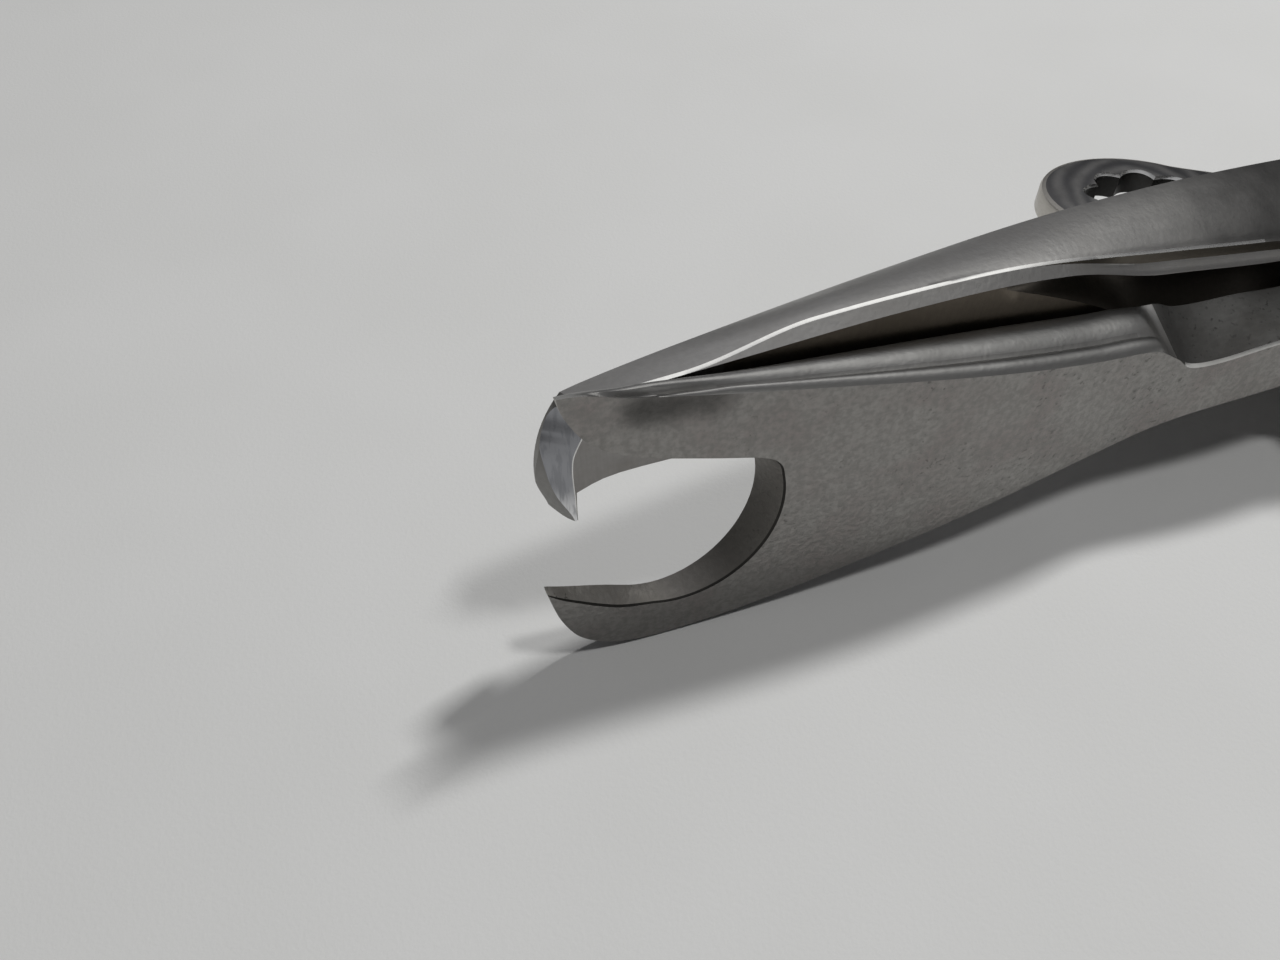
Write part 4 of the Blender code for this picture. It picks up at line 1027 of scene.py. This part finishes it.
# Catch lever: a flat lever stamped from steel plate, with an oval eye and a lobed hole at one end and a
# bitten tail at the other. Its faces are tumbled dark grey and its cut edges are left bright.
LEVER_T, LEVER_W = 1.7, 4.4
EYE_RX, EYE_RY, EYE_TURN = 6.0, 4.25, math.radians(-35)
EYE_FROM, EYE_TO, EYE_STEPS = 70, 335, 40
EYE_HOLE_R, EYE_HOLE_STRETCH, EYE_HOLE_SHIFT = 2.6, 1.3, 0.15
EYE_LOBES, LOBE_DEPTH, LOBE_STEPS = 9, 0.28, 24
POST_R, POST_FOOT_R = 1.4, 2.4
COLLAR_T, TAIL_W, BITE_R, BITE_STEPS = 0.3, 3.0, 1.4, 12
post_seat = handle_z(-1, POST_AT[0] - POST_FOOT_R) + HANDLE_T * 0.53 + CLEAR
post_rest = post_seat + COLLAR_T
lever_low = post_rest + 2 * CLEAR + WASHER_T
lever_top = lever_low + LEVER_T


def tumbled_surface():
    # Dark steel with faint, uneven rings round the eye
    material, tree = new_material("lever_face")
    middle = (Vector((*EYE_AT, 0.0)) * MM + Vector((AXIS.x, AXIS.y, 0.0))) / MM
    centred = tree.node("Mapping", None, {"Vector": tree.node("TexCoord", out=3),
                                          "Scale": (1 / MM, 1 / MM, 1 / MM), "Location": tuple(-middle)})
    swirl = tree.node("TexWave", {"wave_type": "RINGS", "rings_direction": "Z"},
                      {"Vector": centred, "Scale": 0.30, "Distortion": 7.0, "Detail": 4.0,
                       "Detail Scale": 0.5})
    cloud = grain(tree, (0.5, 0.5, 0.5), 4.0)
    fine = grain(tree, (6.0, 6.0, 6.0), 3.0)
    base = tint(swirl, (0.17, 0.17, 0.175), (0.30, 0.295, 0.29))
    base = tint(level(cloud, 0.35, 0.7) * 0.6, base, (0.15, 0.147, 0.145))
    rough = 0.36 + 0.14 * swirl + 0.1 * fine
    return finish_surface(material, tree, {"Base Color": base, "Metallic": 1.0, "Roughness": rough},
                          fine, 0.02, 0.4)


lever_face = tumbled_surface()
lever_side = steel("lever_side", (0.56, 0.54, 0.50), (0.44, 0.41, 0.37), 0.34, brush=(2.0, 2.0, 5.0),
                   brush_depth=0.4, pits=0.1)
# Painted shade: near-black wall inside the eye's lobed hole
lever_bore_shade = steel("lever_bore_shade", (0.09, 0.088, 0.085), (0.05, 0.05, 0.05), 0.5, brush=(2.0, 2.0, 2.0),
                   brush_depth=0.3, pits=0.1)
lever_rim = steel("lever_rim", (0.84, 0.84, 0.83), (0.74, 0.735, 0.72), 0.24, brush=(3.0, 3.0, 3.0),
                  brush_depth=0.2, pits=0.0)


def eye_spot(along, across):
    # Spot so far along and across the eye's long axis
    return (EYE_AT[0] + along * math.cos(EYE_TURN) - across * math.sin(EYE_TURN),
            EYE_AT[1] + along * math.sin(EYE_TURN) + across * math.cos(EYE_TURN))


def lever_outline():
    # Oval eye, near edge, bitten tail and far edge, with its corners rounded off
    post = Vector(POST_AT)
    shank = Vector(EYE_AT) - post
    tail = math.atan2(shank.y, shank.x) - math.pi
    ahead = Vector((math.cos(tail), math.sin(tail)))
    across = Vector((-ahead.y, ahead.x))
    half = LEVER_W / 2
    near_y = screw_end + 2 * CLEAR
    eye = []
    for i in range(EYE_STEPS + 1):
        turn = math.radians(EYE_FROM + (EYE_TO - EYE_FROM) * i / EYE_STEPS)
        eye.append(eye_spot(EYE_RX * math.cos(turn), EYE_RY * math.sin(turn)))
    near = [(-NUT_R - CLEAR, near_y + CLEAR), (NUT_R + CLEAR, near_y),
            post - across * half - ahead * half * 0.4, post - across * half * 0.75 + ahead * half * 0.75]
    bite = post + ahead * TAIL_LEN
    bite_turns = [tail + math.pi * (1 - i / BITE_STEPS) for i in range(BITE_STEPS + 1)]
    jaw = [bite + BITE_R * Vector((math.cos(turn), math.sin(turn))) for turn in bite_turns]
    toe = post + ahead * (TAIL_LEN + BITE_R + TAIL_W * 0.3)
    far = [toe, toe + across * TAIL_W * 0.5 - ahead * TAIL_W * 0.1,
           post + across * TAIL_W * 0.95 + ahead * TAIL_LEN * 0.6,
           post + across * half + ahead * half * 0.6, post + across * half - ahead * half * 0.4,
           (NUT_R, near_y + LEVER_W * 0.55), (-NUT_R * 0.4, near_y + LEVER_W * 0.75)]
    run = [Vector(spot) for spot in eye + near + jaw + far]
    for _ in range(2):
        run = [a.lerp(b, share) for a, b in zip(run, run[1:] + run[:1]) for share in (0.22, 0.78)]
    return run


def grown(run, by):
    # The closed run of points moved out by so much
    spots = []
    for before, spot, after in zip(run[-1:] + run[:-1], run, run[1:] + run[:1]):
        along = (after - before).normalized()
        spots.append(spot + Vector((along.y, -along.x)) * by)
    return spots


def upright(name, levels, finish_of, materials):
    # Plate from outlines at rising heights
    return skin(name, [[(spot.x, spot.y, z) for spot in run] for run, z in levels], finish_of, materials)


outline = lever_outline()
area = sum(a.x * b.y - a.y * b.x for a, b in zip(outline, outline[1:] + outline[:1]))
outline = outline if area > 0 else outline[::-1]
levels = [(grown(outline, -0.22), lever_low), (grown(outline, -0.06), lever_low + 0.07),
          (outline, lever_low + 0.22), (outline, lever_top - 0.30),
          (grown(outline, -0.08), lever_top - 0.10), (grown(outline, -0.30), lever_top)]
lever = upright("catch_plate", levels, lambda c, i: 1, [lever_face, lever_side])
for face in lever.data.polygons:
    if len(face.vertices) > 4:
        face.material_index = 0


def lobed_hole(extra):
    # Outline of the eye's hole, so much larger all round
    run, steps = [], EYE_LOBES * LOBE_STEPS
    for i in range(steps):
        turn = 2 * math.pi * i / steps
        radius = EYE_HOLE_R + extra + LOBE_DEPTH * (2 * abs(math.sin(EYE_LOBES * turn / 2)) - 1)
        along = radius * (EYE_HOLE_STRETCH * math.cos(turn) + EYE_HOLE_SHIFT)
        run.append(Vector(eye_spot(along, radius * math.sin(turn))))
    return run


# The hole's wall takes the painted shade; its top edge takes the bright rim
broach = [(lobed_hole(0.30), lever_low - 0.2), (lobed_hole(0.0), lever_low + 0.1),
          (lobed_hole(0.0), lever_top - 0.16), (lobed_hole(0.14), lever_top - 0.02),
          (lobed_hole(0.30), lever_top + 0.3)]
carve(lever, upright("broach", broach, lambda c, i: 0 if c in (0, 1) else 1, [lever_bore_shade, lever_rim]))
post_at = (*POST_AT, 0.0)
post_bore = [(POST_R + CLEAR, lever_low - 3), (POST_R + CLEAR, lever_top + 3)]
carve(lever, turned("hole", post_bore, lever_side, 48, "Z", post_at))
settle(lever, "catch", "satin_steel", "catch_lever")


# Lever post: a shouldered rivet of bright steel in the lower handle that the lever turns on, with a dark
# washer under the lever. The catch stud, a small dark flanged pin in the upper handle, drops into the
# lever's bite when locked.
POST_HEAD_R, POST_HEAD_T = 2.3, 0.8
post_head = lever_top + CLEAR
post_rows = [(POST_R, handle_z(-1, POST_AT[0]) + CLEAR), (POST_R, post_seat), (POST_FOOT_R, post_seat),
             (POST_FOOT_R, post_rest), (POST_R, post_rest), (POST_R, post_head)]
post_rows += dome(POST_HEAD_R, post_head, post_head + POST_HEAD_T)[::-1]
post = turned("lever_rivet", post_rows, bright_steel, 56, "Z", post_at)
settle(post, "hook_side", "polished_steel", "lever_post")
settle(washer("lever_ring", POST_FOOT_R, POST_R + CLEAR, post_rest + CLEAR, WASHER_T, "Z", post_at),
       "hook_side", "dark_steel", "lever_washer")
STUD_R, STUD_HEAD_R, STUD_HEAD_T = 0.9, 1.4, 0.5
stud_root = handle_z(1, STUD_AT[0])
stud_seat = stud_root - HANDLE_T / 2 - CLEAR * 2
stud_tip = lever_top + 0.4
stud_rows = [(STUD_R, stud_root - CLEAR), (STUD_R, stud_seat), (STUD_HEAD_R - 0.08, stud_seat),
             (STUD_HEAD_R, stud_seat - 0.08), (STUD_HEAD_R, stud_seat - STUD_HEAD_T),
             (STUD_R, stud_seat - STUD_HEAD_T), (STUD_R, stud_tip + STUD_HEAD_T),
             (STUD_HEAD_R, stud_tip + STUD_HEAD_T), (STUD_HEAD_R, stud_tip + 0.12),
             (STUD_HEAD_R - 0.12, stud_tip)]
settle(turned("catch_pin", stud_rows, dark_steel, 48, "Z", (*STUD_AT, 0.0)),
       "notched_side", "dark_steel", "catch_stud")
